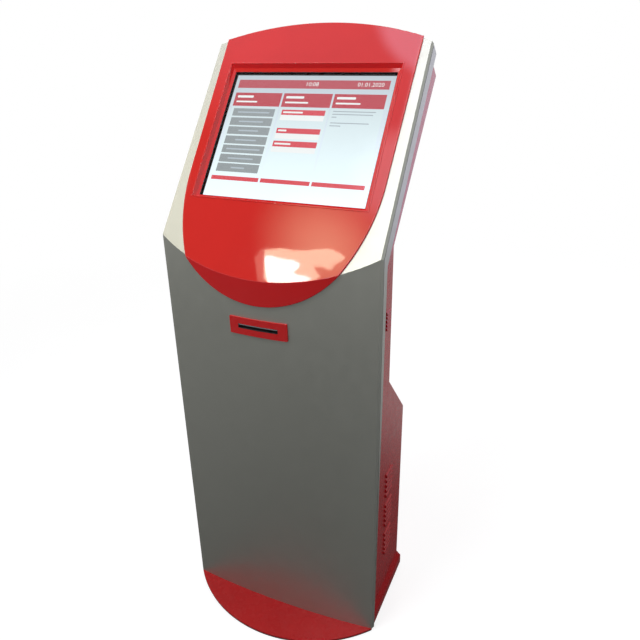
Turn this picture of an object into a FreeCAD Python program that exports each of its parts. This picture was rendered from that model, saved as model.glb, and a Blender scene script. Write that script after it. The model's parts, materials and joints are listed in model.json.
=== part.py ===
import FreeCAD, Part
import math
import os
from FreeCAD import Placement, Rotation, Vector

# Floor-standing queue ticket kiosk, in millimetres.
# X runs across, Y from front to back, Z up from the floor.
# While modelling, y = 0 is the line through the front panel's two side edges.
# save() then moves the origin to the middle of the four floor anchor holes.

# ---- Base --------------------------------------------------------------------
BASE_PLATE = 4.0            # dark floor plate
BASE_MARGIN = 1.0           # floor plate set back inside the plinth's edge
TOE_PLATE = 3.0             # red toe plate on top of the floor plate
TOE_REACH = 101.0           # how far the D-shaped toe comes forward
BASE_REAR = 215.3
SKIRT_RIDGE = 26.0          # height of the skirt's upright face
SKIRT_TOP = 43.0            # where its slope meets the cabinet
ANCHOR_SPACING_X = 300.0
ANCHOR_SPACING_Y = 140.0
ANCHOR_HOLE = 6.0           # radius
ANCHOR_Y = 100.0            # middle of the anchor pattern
GROMMET_X = -110.0
GROMMET_Y = 100.0
GROMMET_BORE = 20.0         # radius left for cables
GROMMET_WALL = 3.0
GROMMET_LIP = 3.0
GROMMET_STAND = 3.0         # height of the grommet above the floor plate

# ---- Front shell: bowed below the fold, flat above it ------------------------
FACE_HALF_WIDTH = 219.4     # centre to where the edge bevel starts
BEVEL_OUT = 3.0
BEVEL_BACK = 6.0
SHELL_WALL = 2.0
WAIST_HEIGHT = 861.3        # where head and lower front meet at the side edges
HEAD_TILT = 51.7            # degrees from level
HEAD_PEAK = 461.2           # waist to the top of the arch, along the face
ARCH_RADIUS = 627.0
BOW_AT_FOOT = 12.4
BOW_AT_FOLD = 41.3
FLANGE_AT_FOOT = 8.2
FLANGE_AT_WAIST = 29.3
HEAD_FLANGE = 35.3
GROOVE_START = 7.0          # shadow groove behind the front edge
GROOVE_WIDTH = 3.0
GROOVE_DEPTH = 1.0
GROOVE_RIM = 3.0            # flange left behind the groove

# ---- Screen shield -----------------------------------------------------------
SHIELD_THICK = 3.5
SHIELD_ROUND = 1.4          # rounding of its outer edge and its fold
SHIELD_OVERHANG = 3.0       # past the shell's top edge
SHIELD_HALF_TOP = 203.6
SHIELD_HALF_WAIST = 199.0
SHIELD_TANGENT = 140.0      # along the face, where the sides start to curve in
SHIELD_HALF_FOLD = 155.5
SHIELD_LENS_RADIUS = 200.8  # lower edge on the bowed front
WINDOW_WIDTH = 338.0
WINDOW_HEIGHT = 270.5
WINDOW_START = 90.3         # waist to the window's lower edge, along the face
FRAME_SIDE = 11.4
FRAME_TOP = 14.5
FRAME_BOTTOM = 10.0
FRAME_BEAD = 3.0            # width of the raised bead round the frame
FRAME_BEAD_RISE = 0.9
FRAME_BEAD_ROUND = 0.6
FRAME_LAND = 0.42           # share of the frame's width left where its gentle inner slope starts
FRAME_LAND_DEPTH = 3.0      # that slope's start below the face
FRAME_NECK = 0.57           # share of the width left where the frame passes the shell's face
FRAME_DEPTH = 5.7           # window edge below the face
FRAME_LIP = 0.8
FRAME_WALL = 2.2
FRAME_CLEARANCE = 1.0

# ---- Display -----------------------------------------------------------------
GASKET = 2.7
GASKET_WIDTH = 7.0
GLASS = 4.0
GLASS_BORDER = 8.0
DISPLAY_BORDER = 12.0
DISPLAY_THICK = 16.5
DISPLAY_RECESS = 0.8
BRACKET_WALL = 2.0
BRACKET_WIDTH = 26.0
BRACKET_DEPTH = 12.0
BRACKET_PLACES = (0.2, 0.8)  # shares of the window's height
BOARD_SIZE = (150.0, 96.0)
BOARD_THICK = 1.6
BOARD_STANDOFF = 5.0
BOARD_POST = 4.0            # radius
BOARD_CHIPS = (             # across, up from the middle, width, height, thickness
    (-30.0, 0.0, 34.0, 34.0, 4.0),
    (35.0, 18.0, 16.0, 16.0, 3.0),
    (40.0, -42.0, 44.0, 12.0, 9.0),
)

# ---- Ticket slot -------------------------------------------------------------
TICKET_DROP = 93.5          # ticket's path below the fold
SLOT_WIDTH = 82.0
SLOT_HEIGHT = 9.0
BEZEL_WIDTH = 118.6
BEZEL_HEIGHT = 34.7
BEZEL_CORNER = 1.4
BEZEL_PROUD = 3.0
THROAT_WALL = 1.6
THROAT_REACH = 12.0         # behind the front skin
THROAT_CLEARANCE = 0.5

# ---- Rear cabinet ------------------------------------------------------------
CABINET_INSET = 10.4        # sides set in from the shell's sides
CABINET_WALL = 2.0
CABINET_EDGE = 3.0          # outer bend radius
CABINET_FRONT = 4.0
CABINET_FACE_GAP = 6.0      # front edge behind the head face
CABINET_TOP_INSET = 3.0
BOX_REAR = 207.8
NECK_REAR = 98.1
SHOULDER_TOP = 579.2
SHOULDER_FOOT = 462.0
HEAD_DEPTH = 77.0           # face to back at the waist, square to the face
HEAD_TAPER = 3.3            # degrees by which the back leans away from the face

# ---- Louvres in the cabinet's sides ------------------------------------------
LOUVRE_PITCH = 13.0
LOUVRE_SLOT = 6.0
LOUVRE_HOOD = 3.0
LOUVRE_SKIN = 1.0
LOUVRE_COUNT = 5
BOX_LOUVRE_SPAN = (94.0, 135.0)
BOX_LOUVRE_TOPS = (352.0, 272.0, 192.0)
NECK_LOUVRE_SPAN = (62.0, 84.0)
NECK_LOUVRE_PITCH = 7.8
NECK_LOUVRE_SLOT = 3.8
NECK_LOUVRE_RISE = 58.0     # top slot above the printer shelf

# ---- Service doors -----------------------------------------------------------
DOOR_SIDE = 47.0            # opening from the cabinet's side
UPPER_DOOR_FOOT = 16.8      # opening above the shoulder
UPPER_DOOR_HEAD = 14.0      # opening below the head's back
LOWER_DOOR_FOOT = 18.0      # opening above the power inlet
LOWER_DOOR_HEAD = 22.0      # opening below the shoulder
DOOR_GAP = 1.5
DOOR_SKIN = 2.0
JAMB_DEPTH = 14.0
JAMB_WALL = 2.0
STOP_LIP = 8.0
STOP_GAP = 0.3
KNUCKLE_RADIUS = 4.0
KNUCKLE_LENGTH = 14.0
KNUCKLE_GAP = 0.4
HINGE_LIFT = 0.3            # knuckle clear of the cabinet's skin
HINGE_INSET = 50.0          # hinge middle from the door opening's end
LEAF_WIDTH = 24.0
LEAF_THICK = 2.0
PIN_RADIUS = 2.0
PIN_HEAD = 3.0
PIN_HEAD_THICK = 1.2
RUNNING_FIT = 0.05
LOCK_INSET = 25.0           # lock axis from the door opening's side
LOCK_FLANGE = 11.0
LOCK_FLANGE_THICK = 1.5
LOCK_BARREL = 9.0
LOCK_BARREL_LENGTH = 16.0
LOCK_NUT = 13.0
LOCK_NUT_THICK = 4.0
LOCK_PLUG = 6.0
KEYWAY_WIDTH = 1.4
KEYWAY_LENGTH = 7.2
KEYWAY_DEPTH = 3.0
LOCK_CAM_THICK = 2.0
LOCK_CAM_REACH = 32.0
LOCK_CAM_HUB = 8.0
LOCK_CAM_TIP = 6.0
LOCK_CAM_GAP = 2.3          # behind the stop lip

# ---- Head service panel ------------------------------------------------------
HEAD_PANEL_SIDE = 37.0      # panel from the cabinet's side
HEAD_PANEL_SPAN = (90.0, 350.0)   # up the back from the waist line
HEAD_PANEL_THICK = 2.0
HEAD_PANEL_LAP = 15.0
VENT_COUNT = 11
VENT_PITCH = 22.0
VENT_WIDTH = 5.0
VENT_LENGTH = 46.0
VENT_ROWS = (0.3, 0.7)      # shares of the panel's height
SCREW_HEAD = 4.0
SCREW_HEAD_THICK = 2.2
SCREW_SHANK = 2.0
SCREW_LENGTH = 7.0
SCREW_INSET = 7.5

# ---- Fan on the lower door ---------------------------------------------------
FAN_SIZE = 80.0
FAN_DEPTH = 25.0
FAN_BORE = 38.0             # radius
FAN_WALL = 1.5
FAN_EAR = 4.0               # thickness of each mounting face
FAN_CORNER = 4.0
FAN_HEIGHT = 345.0
FAN_HUB = 16.0
FAN_BLADES = 7
FAN_BLADE_TIP = 36.0
FAN_BLADE_CHORD = 22.0
FAN_BLADE_THICK = 1.4
FAN_BLADE_PITCH = 38.0      # degrees
FAN_SPIDER = 3.0
FAN_SHAFT = 2.0             # radius
FAN_SPOKES = 4
GUARD_WIRE = 1.8
GUARD_RINGS = (14.0, 24.0, 34.0)
GUARD_HUB = 6.0
GUARD_EYE = 4.5
GUARD_SPOKES = 4

# ---- Shelves -----------------------------------------------------------------
SHELF_WALL = 2.0
SHELF_FLANGE = 12.0
UPPER_SHELF_DROP = 35.5     # top face below the ticket's path
UPPER_SHELF_SPAN = (-24.0, 78.0)
PAPER_PORT = (20.0, 44.0)
PAPER_PORT_HALF = 43.0
LOWER_SHELF_HEIGHT = 264.0
LOWER_SHELF_SPAN = (8.0, 168.0)

# ---- Ticket printer ----------------------------------------------------------
CHASSIS_HALF = 54.0
CHASSIS_WALL = 2.0
CHASSIS_SPAN = (-22.0, 70.0)
CHASSIS_RISE = 32.5         # top edge above the ticket's path
MOUTH_HEIGHT = 8.0
PLATEN_Y = 16.0
PLATEN_RADIUS = 7.0
PLATEN_HALF = 42.0
PAPER_GAP = 0.2
SHAFT_RADIUS = 3.0
SHAFT_END = 10.0            # past the gear-side plate
SHAFT_TAIL = 3.0
BUSH_RADIUS = 5.0
BUSH_FLANGE = 6.5
BUSH_FLANGE_THICK = 1.0
GEAR_MODULE = 1.0
PRESSURE_ANGLE = 20.0
TOOTH_RISE = 0.85           # modules above and below the pitch circle
TOOTH_FALL = 1.2
GEAR_WIDTH = 6.0
GEAR_STANDOFF = 3.0
GEAR_BACKLASH = 0.2
GEAR_SPREAD = 0.1           # extra centre distance
PLATEN_TEETH = 24
IDLER_TEETH = 20
PINION_TEETH = 14
IDLER_BEARING = -20.0       # degrees from the platen
PINION_BEARING = 12.0       # degrees from the idler
IDLER_STUD = 2.0            # radius
STUD_END = 1.0              # stud past what turns on it
MOTOR_RADIUS = 15.0
MOTOR_LENGTH = 20.0
MOTOR_SHAFT = 1.5
MOTOR_BOSS = 4.5
HEAD_PIVOT_Y = 54.0
HEAD_PIVOT_RISE = 21.5      # above the ticket's path
HEAD_PIVOT_RADIUS = 2.0
PRINT_HEAD_HALF = 47.0
PRINT_HEAD_SPAN = (4.0, 28.0)
PRINT_HEAD_THICK = 12.0
PRINT_HEAD_GAP = 0.4
PRINT_HEAD_ARM = 2.0
PRINT_HEAD_EYE = 5.0
PRINT_HEAD_FINS = 9
PRINT_HEAD_FIN = 2.0
PRINT_HEAD_FIN_PITCH = 8.8
PRINT_HEAD_FIN_RISE = 5.0
PRINT_HEAD_FIN_END = 6.0    # fins stop short of the arms
LEVER_PIVOT_Y = 30.0
LEVER_PIVOT_RISE = 22.5     # above the ticket's path
LEVER_HUB = 6.5
LEVER_WIDTH = 7.0
LEVER_REACH = 30.0
LEVER_THICK = 4.0
LEVER_KNOB = 5.0
LEVER_KNOB_LENGTH = 12.0
LEVER_STUD = 2.5            # radius
LEVER_STANDOFF = 1.0
BLADE_THICK = 2.0
BLADE_FRONT = -12.3
BLADE_GAP = 0.3
FIXED_BLADE_HALF = 48.0
FIXED_BLADE_DROP = 15.0
LEDGE_DEPTH = 8.0
BLADE_CLEAR = 0.5           # fixed edge below the ticket
MOVING_BLADE_HALF = 44.0
MOVING_BLADE_LIFT = 3.0     # raised edge above the ticket
MOVING_BLADE_NOTCH = 3.0
MOVING_BLADE_HEIGHT = 15.0
CUTTER_GUIDE = 2.5
CONTROL_FOOT = 10.0         # board above the chassis floor
CONTROL_HEIGHT = 50.0
CONTROL_CHIPS = (           # across, up from the middle, width, height, thickness
    (-10.0, 0.0, 18.0, 18.0, 2.0),
    (-36.0, -19.0, 20.0, 8.0, 7.0),
    (20.0, -18.0, 14.0, 10.0, 7.0),
)
BUTTON_X = 30.0
BUTTON_DROP = 20.0          # below the chassis' top edge
BUTTON_RADIUS = 3.5
BUTTON_CAP = 3.0
BUTTON_STEM = 2.0
BUTTON_TRAVEL = 1.2
BUTTON_BODY = 8.0
BUTTON_BODY_DEPTH = 3.4

# ---- Paper roll --------------------------------------------------------------
ROLL_Y = 30.0
ROLL_DROP = 62.0            # axis below the printer shelf
ROLL_RADIUS = 45.0
ROLL_HALF = 40.0
CORE_RADIUS = 17.0
SPINDLE_RADIUS = 12.0
SPINDLE_HALF = 43.0
JOURNAL_RADIUS = 4.0
JOURNAL_HALF = 50.0
JOURNAL_CLEAR = 0.1
HOLDER_ARM = 45.0           # inner face of each arm from the centre
HOLDER_WALL = 2.0
HOLDER_WIDTH = 26.0
HOLDER_DROP = 16.0          # arm below the spindle's centre

# ---- Loudspeakers ------------------------------------------------------------
SPEAKER_Y = 73.0
SPEAKER_RISE = 41.0         # middle above the printer shelf
SPEAKER_HALF_Y = 14.0
SPEAKER_HALF_Z = 24.0
SPEAKER_FLANGE = 2.0
SPEAKER_CONE = 12.0
SPEAKER_EDGE = 1.0
SPEAKER_NECK = 5.5
SPEAKER_BASKET = 8.0
SPEAKER_MAGNET = 11.0
SPEAKER_MAGNET_LENGTH = 9.0

# ---- Computer and power ------------------------------------------------------
COMPUTER_HALF = 95.0
COMPUTER_SPAN = (18.0, 152.0)
COMPUTER_HEIGHT = 42.0
COMPUTER_FINS = 13
COMPUTER_FIN = 7.0
COMPUTER_FIN_THICK = 3.0
PORT_COUNT = 6
PORT_PITCH = 28.0
PORT_SIZE = (16.0, 10.0)
PORT_DEPTH = 3.5
SUPPLY_HALF = 50.0
SUPPLY_X = 30.0
SUPPLY_SPAN = (10.0, 168.0)
SUPPLY_HEIGHT = 42.0
SUPPLY_WALL = 2.0
SUPPLY_SILL = 14.0          # height of the terminal bay's floor
TERMINAL_BAY = 14.0
SUPPLY_TERMINALS = 9
TERMINAL_PITCH = 9.5
TERMINAL_RIDGE = 1.5
TERMINAL_RISE = 10.0
INLET_X = 120.0
INLET_Z = 76.0
INLET_FLANGE = (50.0, 28.0)
INLET_BODY = (30.0, 22.0)
INLET_SOCKET = (25.0, 17.0)
INLET_DEPTH = 22.0
SOCKET_DEPTH = 17.0
INLET_PLATE = 2.0
BLADE_SIZE = (2.0, 4.0)
BLADE_LENGTH = 10.0
BLADE_OFFSETS = ((-7.0, -2.0), (0.0, 2.0), (7.0, -2.0))
SWITCH_X = 70.0
SWITCH_FLANGE = (31.0, 26.0)
SWITCH_BODY = (27.0, 22.0)
SWITCH_WELL = (22.0, 16.0)
SWITCH_DEPTH = 18.0
SWITCH_PLATE = 1.5
SWITCH_WELL_DEPTH = 9.0
ROCKER_GAP = 0.4
ROCKER_ANGLE = 10.0         # rest tilt; pressing turns it through twice this
ROCKER_PIVOT_DEPTH = 1.0
ROCKER_THICK = 6.0
ROCKER_DISH = 1.5
ROCKER_PIN = 1.2
PANEL_CLEARANCE = 0.3

# ---- Worked out from the sizes above -----------------------------------------
PANEL_FOOT = BASE_PLATE + TOE_PLATE
SHELL_HALF_WIDTH = FACE_HALF_WIDTH + BEVEL_OUT
CABINET_HALF_WIDTH = SHELL_HALF_WIDTH - CABINET_INSET
CABINET_INNER = CABINET_HALF_WIDTH - CABINET_WALL
WINDOW_HALF = WINDOW_WIDTH / 2
WINDOW_SPAN = (WINDOW_START, WINDOW_START + WINDOW_HEIGHT)
GLASS_TOP = -(FRAME_DEPTH + FRAME_LIP + GASKET)
DISPLAY_TOP = GLASS_TOP - GLASS
DISPLAY_BACK = DISPLAY_TOP - DISPLAY_THICK
DOOR_HALF = CABINET_HALF_WIDTH - DOOR_SIDE
HINGE_X = -DOOR_HALF + DOOR_GAP / 2
LOCK_X = DOOR_HALF - LOCK_INSET
HEAD_PANEL_HALF = CABINET_HALF_WIDTH - HEAD_PANEL_SIDE
FOLD_HEIGHT = WAIST_HEIGHT - BOW_AT_FOLD * math.tan(math.radians(HEAD_TILT))
TICKET_HEIGHT = FOLD_HEIGHT - TICKET_DROP
UPPER_SHELF_HEIGHT = TICKET_HEIGHT - UPPER_SHELF_DROP
NECK_LOUVRE_TOP = UPPER_SHELF_HEIGHT + NECK_LOUVRE_RISE
PLATEN_Z = TICKET_HEIGHT - PAPER_GAP - PLATEN_RADIUS
CHASSIS_FLOOR = UPPER_SHELF_HEIGHT
CHASSIS_TOP = TICKET_HEIGHT + CHASSIS_RISE
HEAD_PIVOT = (HEAD_PIVOT_Y, TICKET_HEIGHT + HEAD_PIVOT_RISE)
LEVER_PIVOT = (LEVER_PIVOT_Y, TICKET_HEIGHT + LEVER_PIVOT_RISE)
CONTROL_SPAN = (CHASSIS_FLOOR + CONTROL_FOOT, CHASSIS_FLOOR + CONTROL_FOOT + CONTROL_HEIGHT)
BUTTON_Z = CHASSIS_TOP - BUTTON_DROP
ROLL_Z = UPPER_SHELF_HEIGHT - ROLL_DROP
SPEAKER_Z = UPPER_SHELF_HEIGHT + SPEAKER_RISE
GEAR_X = CHASSIS_HALF + GEAR_STANDOFF
FAR = 1500.0                # longer than the kiosk, for cutting shapes
X_AXIS = Vector(1, 0, 0)
Y_AXIS = Vector(0, 1, 0)
Z_AXIS = Vector(0, 0, 1)
HEAD = Placement(Vector(0, 0, WAIST_HEIGHT), Rotation(X_AXIS, HEAD_TILT))
BACK = HEAD.multiply(Placement(Vector(0, 0, -HEAD_DEPTH), Rotation(X_AXIS, -HEAD_TAPER)))


# ---- Helpers -----------------------------------------------------------------
def both_sides(half):
    return (-half, half)


def around(middle, size):
    return (middle - size / 2, middle + size / 2)


def spread(count, pitch):
    """Evenly spaced places on both sides of zero."""
    return [(k - (count - 1) / 2) * pitch for k in range(count)]


def grown(span, by):
    return (span[0] - by, span[1] + by)


def block(x_span, y_span, z_span):
    """Straight block from three (low, high) spans."""
    sizes = [high - low for low, high in (x_span, y_span, z_span)]
    return Part.makeBox(*sizes, Vector(x_span[0], y_span[0], z_span[0]))


def rod(radius, start, end):
    """Cylinder from one point to another."""
    run = end - start
    return Part.makeCylinder(radius, run.Length, start, run)


def cross_rod(radius, y, z, x_span):
    return rod(radius, Vector(x_span[0], y, z), Vector(x_span[1], y, z))


def depth_rod(radius, x, z, y_span):
    return rod(radius, Vector(x, y_span[0], z), Vector(x, y_span[1], z))


def depth_edges(shape):
    """Straight edges that run from front to back."""
    return [edge for edge in shape.Edges if abs(edge.tangentAt(edge.FirstParameter).y) > 0.5]


def face_of(points):
    return Part.Face(Part.makePolygon(points + points[:1]))


def side_slab(points, x_span):
    """Outline of (y, z) points, extruded across the kiosk."""
    outline = face_of([Vector(x_span[0], y, z) for y, z in points])
    return outline.extrude(Vector(x_span[1] - x_span[0], 0, 0))


def loft(wires):
    return Part.makeLoft(wires, True, True)


def rectangle(x_span, y_span, z):
    (x0, x1), (y0, y1) = x_span, y_span
    corners = [Vector(x0, y0, z), Vector(x1, y0, z), Vector(x1, y1, z), Vector(x0, y1, z)]
    return Part.makePolygon(corners + corners[:1])


def joined(shapes):
    """One shape from touching or overlapping pieces."""
    return shapes[0].fuse(shapes[1:]).removeSplitter()


def group(shapes):
    """Separate solids kept in one node."""
    return Part.makeCompound([solid for shape in shapes for solid in shape.Solids])


def mirrored(shape):
    return shape.mirror(Vector(0, 0, 0), X_AXIS)


def placed(shape, placement):
    moved = shape.copy()
    moved.Placement = placement.multiply(moved.Placement)
    return moved


def frame_point(placement, along, above):
    """(y, z) of a point given along and above a tilted plane."""
    point = placement.multVec(Vector(0, along, above))
    return (point.y, point.z)


def frame_line(placement, above):
    """A line parallel to a tilted plane, as (point, direction) in the YZ plane."""
    start = frame_point(placement, 0, above)
    end = frame_point(placement, 1, above)
    return (start, (end[0] - start[0], end[1] - start[1]))


def meet(first, second):
    """Where two lines in the YZ plane cross."""
    (p, u), (q, v) = first, second
    t = ((q[0] - p[0]) * v[1] - (q[1] - p[1]) * v[0]) / (u[0] * v[1] - u[1] * v[0])
    return (p[0] + t * u[0], p[1] + t * u[1])


def upright(y):
    return ((y, 0.0), (0.0, 1.0))


def save(name, shape):
    """Write one node, with the origin moved to the middle of the anchor pattern."""
    moved = shape.copy()
    moved.translate(Vector(0, -ANCHOR_Y, 0))
    moved.exportStep("parts/" + name + ".step")


# ---- The kiosk's two main outlines -------------------------------------------
def bow(z):
    """How far the front bulges forward of its side edges at one height."""
    share = (z - PANEL_FOOT) / (FOLD_HEIGHT - PANEL_FOOT)
    return BOW_AT_FOOT + (BOW_AT_FOLD - BOW_AT_FOOT) * share


def front_section(z, inset):
    half = FACE_HALF_WIDTH - inset
    side = SHELL_HALF_WIDTH - inset
    left, right = Vector(-half, inset, z), Vector(half, inset, z)
    arc = Part.Arc(left, Vector(0, inset - bow(z), z), right).toShape()
    corners = [
        right,
        Vector(side, BEVEL_BACK + inset, z),
        Vector(side, FAR, z),
        Vector(-side, FAR, z),
        Vector(-side, BEVEL_BACK + inset, z),
        left,
    ]
    return Part.Wire([arc] + Part.makePolygon(corners).Edges)


def front_prism(inset):
    """All space behind the bowed front and between its sides."""
    return loft([front_section(z, inset) for z in (-PANEL_FOOT, FAR)])


def arch_prism(half, radius, h_span):
    """Outline of the head seen square to the face, in the head's own frame."""
    centre = HEAD_PEAK - ARCH_RADIUS
    spring = centre + math.sqrt(radius ** 2 - half ** 2)
    left, right = Vector(-half, spring, h_span[0]), Vector(half, spring, h_span[0])
    crown = Part.Arc(left, Vector(0, centre + radius, h_span[0]), right).toShape()
    foot = [right, Vector(half, -FAR, h_span[0]), Vector(-half, -FAR, h_span[0]), left]
    outline = Part.Face(Part.Wire([crown] + Part.makePolygon(foot).Edges))
    return outline.extrude(Vector(0, 0, h_span[1] - h_span[0]))


def head_prism(inset):
    """All space behind the head face, between its sides and under its arch."""
    half = FACE_HALF_WIDTH - inset
    side = SHELL_HALF_WIDTH - inset
    low = -BEVEL_BACK - inset
    section = [(-half, -inset), (half, -inset), (side, low), (side, -FAR), (-side, -FAR), (-side, low)]
    outline = face_of([Vector(x, -FAR, h) for x, h in section])
    body = outline.extrude(Vector(0, 2 * FAR, 0))
    arch = arch_prism(side, ARCH_RADIUS - inset, (-FAR, FAR))
    return placed(body.common(arch), HEAD)


def front_body(inset):
    return front_prism(inset).common(head_prism(inset))


def flange_zone(setback):
    """Space in front of the shell's rear edge, moved forward by setback."""
    foot_rear = (FLANGE_AT_FOOT - setback, PANEL_FOOT)
    slope = (FLANGE_AT_WAIST - FLANGE_AT_FOOT, WAIST_HEIGHT - PANEL_FOOT)
    head_rear = frame_line(HEAD, setback - HEAD_FLANGE)
    far_rear = frame_point(HEAD, FAR, setback - HEAD_FLANGE)
    outline = [
        (-FAR, PANEL_FOOT),
        foot_rear,
        meet((foot_rear, slope), head_rear),
        far_rear,
        (-FAR, far_rear[1]),
    ]
    return side_slab(outline, both_sides(FAR))


def front_zone(depth):
    """Space ahead of a surface that runs a little way behind the shell's front edges."""
    front = upright(depth)
    face = frame_line(HEAD, -depth)
    far_face = frame_point(HEAD, FAR, -depth)
    outline = [(-FAR, -FAR), (depth, -FAR), meet(front, face), far_face, (-FAR, far_face[1])]
    return side_slab(outline, both_sides(FAR))


def shoulder_line(inset):
    fall = (BOX_REAR - NECK_REAR, SHOULDER_FOOT - SHOULDER_TOP)
    length = math.hypot(*fall)
    normal = (-fall[1] / length, fall[0] / length)
    start = (NECK_REAR - inset * normal[0], SHOULDER_TOP - inset * normal[1])
    return (start, fall)


def cabinet_space(inset, overrun):
    """Space inside the cabinet's walls; overrun carries it past the open front and foot."""
    front = upright(CABINET_FRONT - overrun)
    face = frame_line(HEAD, overrun - CABINET_FACE_GAP)
    back = frame_line(BACK, inset)
    neck = upright(NECK_REAR - inset)
    foot = BASE_PLATE - overrun
    outline = [
        (CABINET_FRONT - overrun, foot),
        (BOX_REAR - inset, foot),
        meet(upright(BOX_REAR - inset), shoulder_line(inset)),
        meet(shoulder_line(inset), neck),
        meet(neck, back),
        frame_point(BACK, FAR, inset),
        frame_point(HEAD, FAR, overrun - CABINET_FACE_GAP),
        meet(face, front),
    ]
    half = CABINET_HALF_WIDTH - inset
    body = side_slab(outline, both_sides(half))
    arch = arch_prism(half, ARCH_RADIUS - CABINET_TOP_INSET - inset, (-FAR, FAR))
    return body.common(placed(arch, HEAD))


# ---- Base --------------------------------------------------------------------
def base_outline(margin, z):
    """D-shaped toe in front, straight sides and back."""
    half = FACE_HALF_WIDTH - margin
    left, right = Vector(-half, margin, z), Vector(half, margin, z)
    toe = Part.Arc(left, Vector(0, margin - TOE_REACH, z), right).toShape()
    rear = BASE_REAR - margin
    corners = [right, Vector(half, rear, z), Vector(-half, rear, z), left]
    return Part.Face(Part.Wire([toe] + Part.makePolygon(corners).Edges))


def base_plate():
    plate = base_outline(BASE_MARGIN, 0).extrude(Vector(0, 0, BASE_PLATE))
    holes = [
        Part.makeCylinder(ANCHOR_HOLE, BASE_PLATE, Vector(x, ANCHOR_Y + y, 0))
        for x in both_sides(ANCHOR_SPACING_X / 2)
        for y in both_sides(ANCHOR_SPACING_Y / 2)
    ]
    cable_hole = Part.makeCylinder(GROMMET_BORE + GROMMET_WALL, BASE_PLATE, Vector(GROMMET_X, GROMMET_Y, 0))
    return plate.cut(holes + [cable_hole])


def cable_grommet():
    """Rubber ring that lines the cable hole and laps over the floor plate."""
    foot = Vector(GROMMET_X, GROMMET_Y, 0)
    wall = GROMMET_BORE + GROMMET_WALL
    ring = Part.makeCylinder(wall, BASE_PLATE + GROMMET_STAND, foot)
    lip = Part.makeCylinder(wall + GROMMET_LIP, GROMMET_STAND, foot + Z_AXIS * BASE_PLATE)
    bore = Part.makeCylinder(GROMMET_BORE, BASE_PLATE + GROMMET_STAND, foot)
    return joined([ring, lip]).cut(bore)


def plinth():
    """Toe plate and the sloped skirt that wraps the cabinet's foot."""
    plate = base_outline(0, BASE_PLATE).extrude(Vector(0, 0, TOE_PLATE))
    lean = (FLANGE_AT_WAIST - FLANGE_AT_FOOT) / (WAIST_HEIGHT - PANEL_FOOT)
    start = FLANGE_AT_FOOT + lean * (SKIRT_TOP - PANEL_FOOT)
    wide = both_sides(FACE_HALF_WIDTH)
    narrow = both_sides(CABINET_HALF_WIDTH)
    upright_part = block(wide, (start, BASE_REAR), (BASE_PLATE, SKIRT_RIDGE))
    ridge = rectangle(wide, (start, BASE_REAR), SKIRT_RIDGE)
    crest = rectangle(narrow, (start, BOX_REAR), SKIRT_TOP)
    skirt = joined([plate, upright_part, loft([ridge, crest])])
    return skirt.cut(cabinet_space(0, 0))


# ---- Front shell and what it carries -----------------------------------------
def frame_margins(share, extra):
    """How far the moulded frame reaches past the window: across, below and above it."""
    return [share * margin + extra for margin in (FRAME_SIDE, FRAME_BOTTOM, FRAME_TOP)]


def window_outline(margins, h):
    across, below, above = margins
    span = (WINDOW_SPAN[0] - below, WINDOW_SPAN[1] + above)
    return rectangle(both_sides(WINDOW_HALF + across), span, h)


def window_block(margins, h_span):
    """Straight-sided block over the window, its sides moved out by the margins."""
    outline = Part.Face(window_outline(margins, h_span[0]))
    return outline.extrude(Vector(0, 0, h_span[1] - h_span[0]))


def side_groove():
    """Shadow groove down the right-hand flange, fading out where the flange narrows to the foot."""
    strip = front_zone(GROOVE_START + GROOVE_WIDTH).cut(front_zone(GROOVE_START))
    side = block((SHELL_HALF_WIDTH - GROOVE_DEPTH, SHELL_HALF_WIDTH), both_sides(FAR), (0, FAR))
    return strip.common(flange_zone(GROOVE_RIM)).common(side)


def front_shell():
    """Formed skin with side flanges, and a lip along its rear edge that meets the cabinet."""
    skin = front_body(0).cut(front_body(SHELL_WALL)).common(flange_zone(0))
    rear_strip = flange_zone(0).cut(flange_zone(SHELL_WALL))
    lip = front_body(0).cut(cabinet_space(0, 0)).common(rear_strip)
    around_neck = frame_margins(FRAME_NECK, FRAME_WALL + FRAME_CLEARANCE)
    window = window_block(around_neck, both_sides(HEAD_FLANGE / 2))
    margin = THROAT_WALL + THROAT_CLEARANCE
    slot = block(
        grown(both_sides(SLOT_WIDTH / 2), margin),
        (-FAR, 0),
        grown(around(TICKET_HEIGHT, SLOT_HEIGHT), margin),
    )
    groove = side_groove()
    return joined([skin, lip]).cut([placed(window, HEAD), slot, groove, mirrored(groove)])


def fold_point(x):
    """Height of the fold between head face and bowed front, at one distance from the centre."""
    z = FOLD_HEIGHT
    for _ in range(20):
        radius = (FACE_HALF_WIDTH ** 2 + bow(z) ** 2) / (2 * bow(z))
        y = radius - bow(z) - math.sqrt(radius ** 2 - x ** 2)
        z = WAIST_HEIGHT + y * math.tan(math.radians(HEAD_TILT))
    return y, z


def fold_along(x):
    """The fold's place along the head face, at one distance from the centre."""
    return fold_point(x)[0] / math.cos(math.radians(HEAD_TILT))


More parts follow.
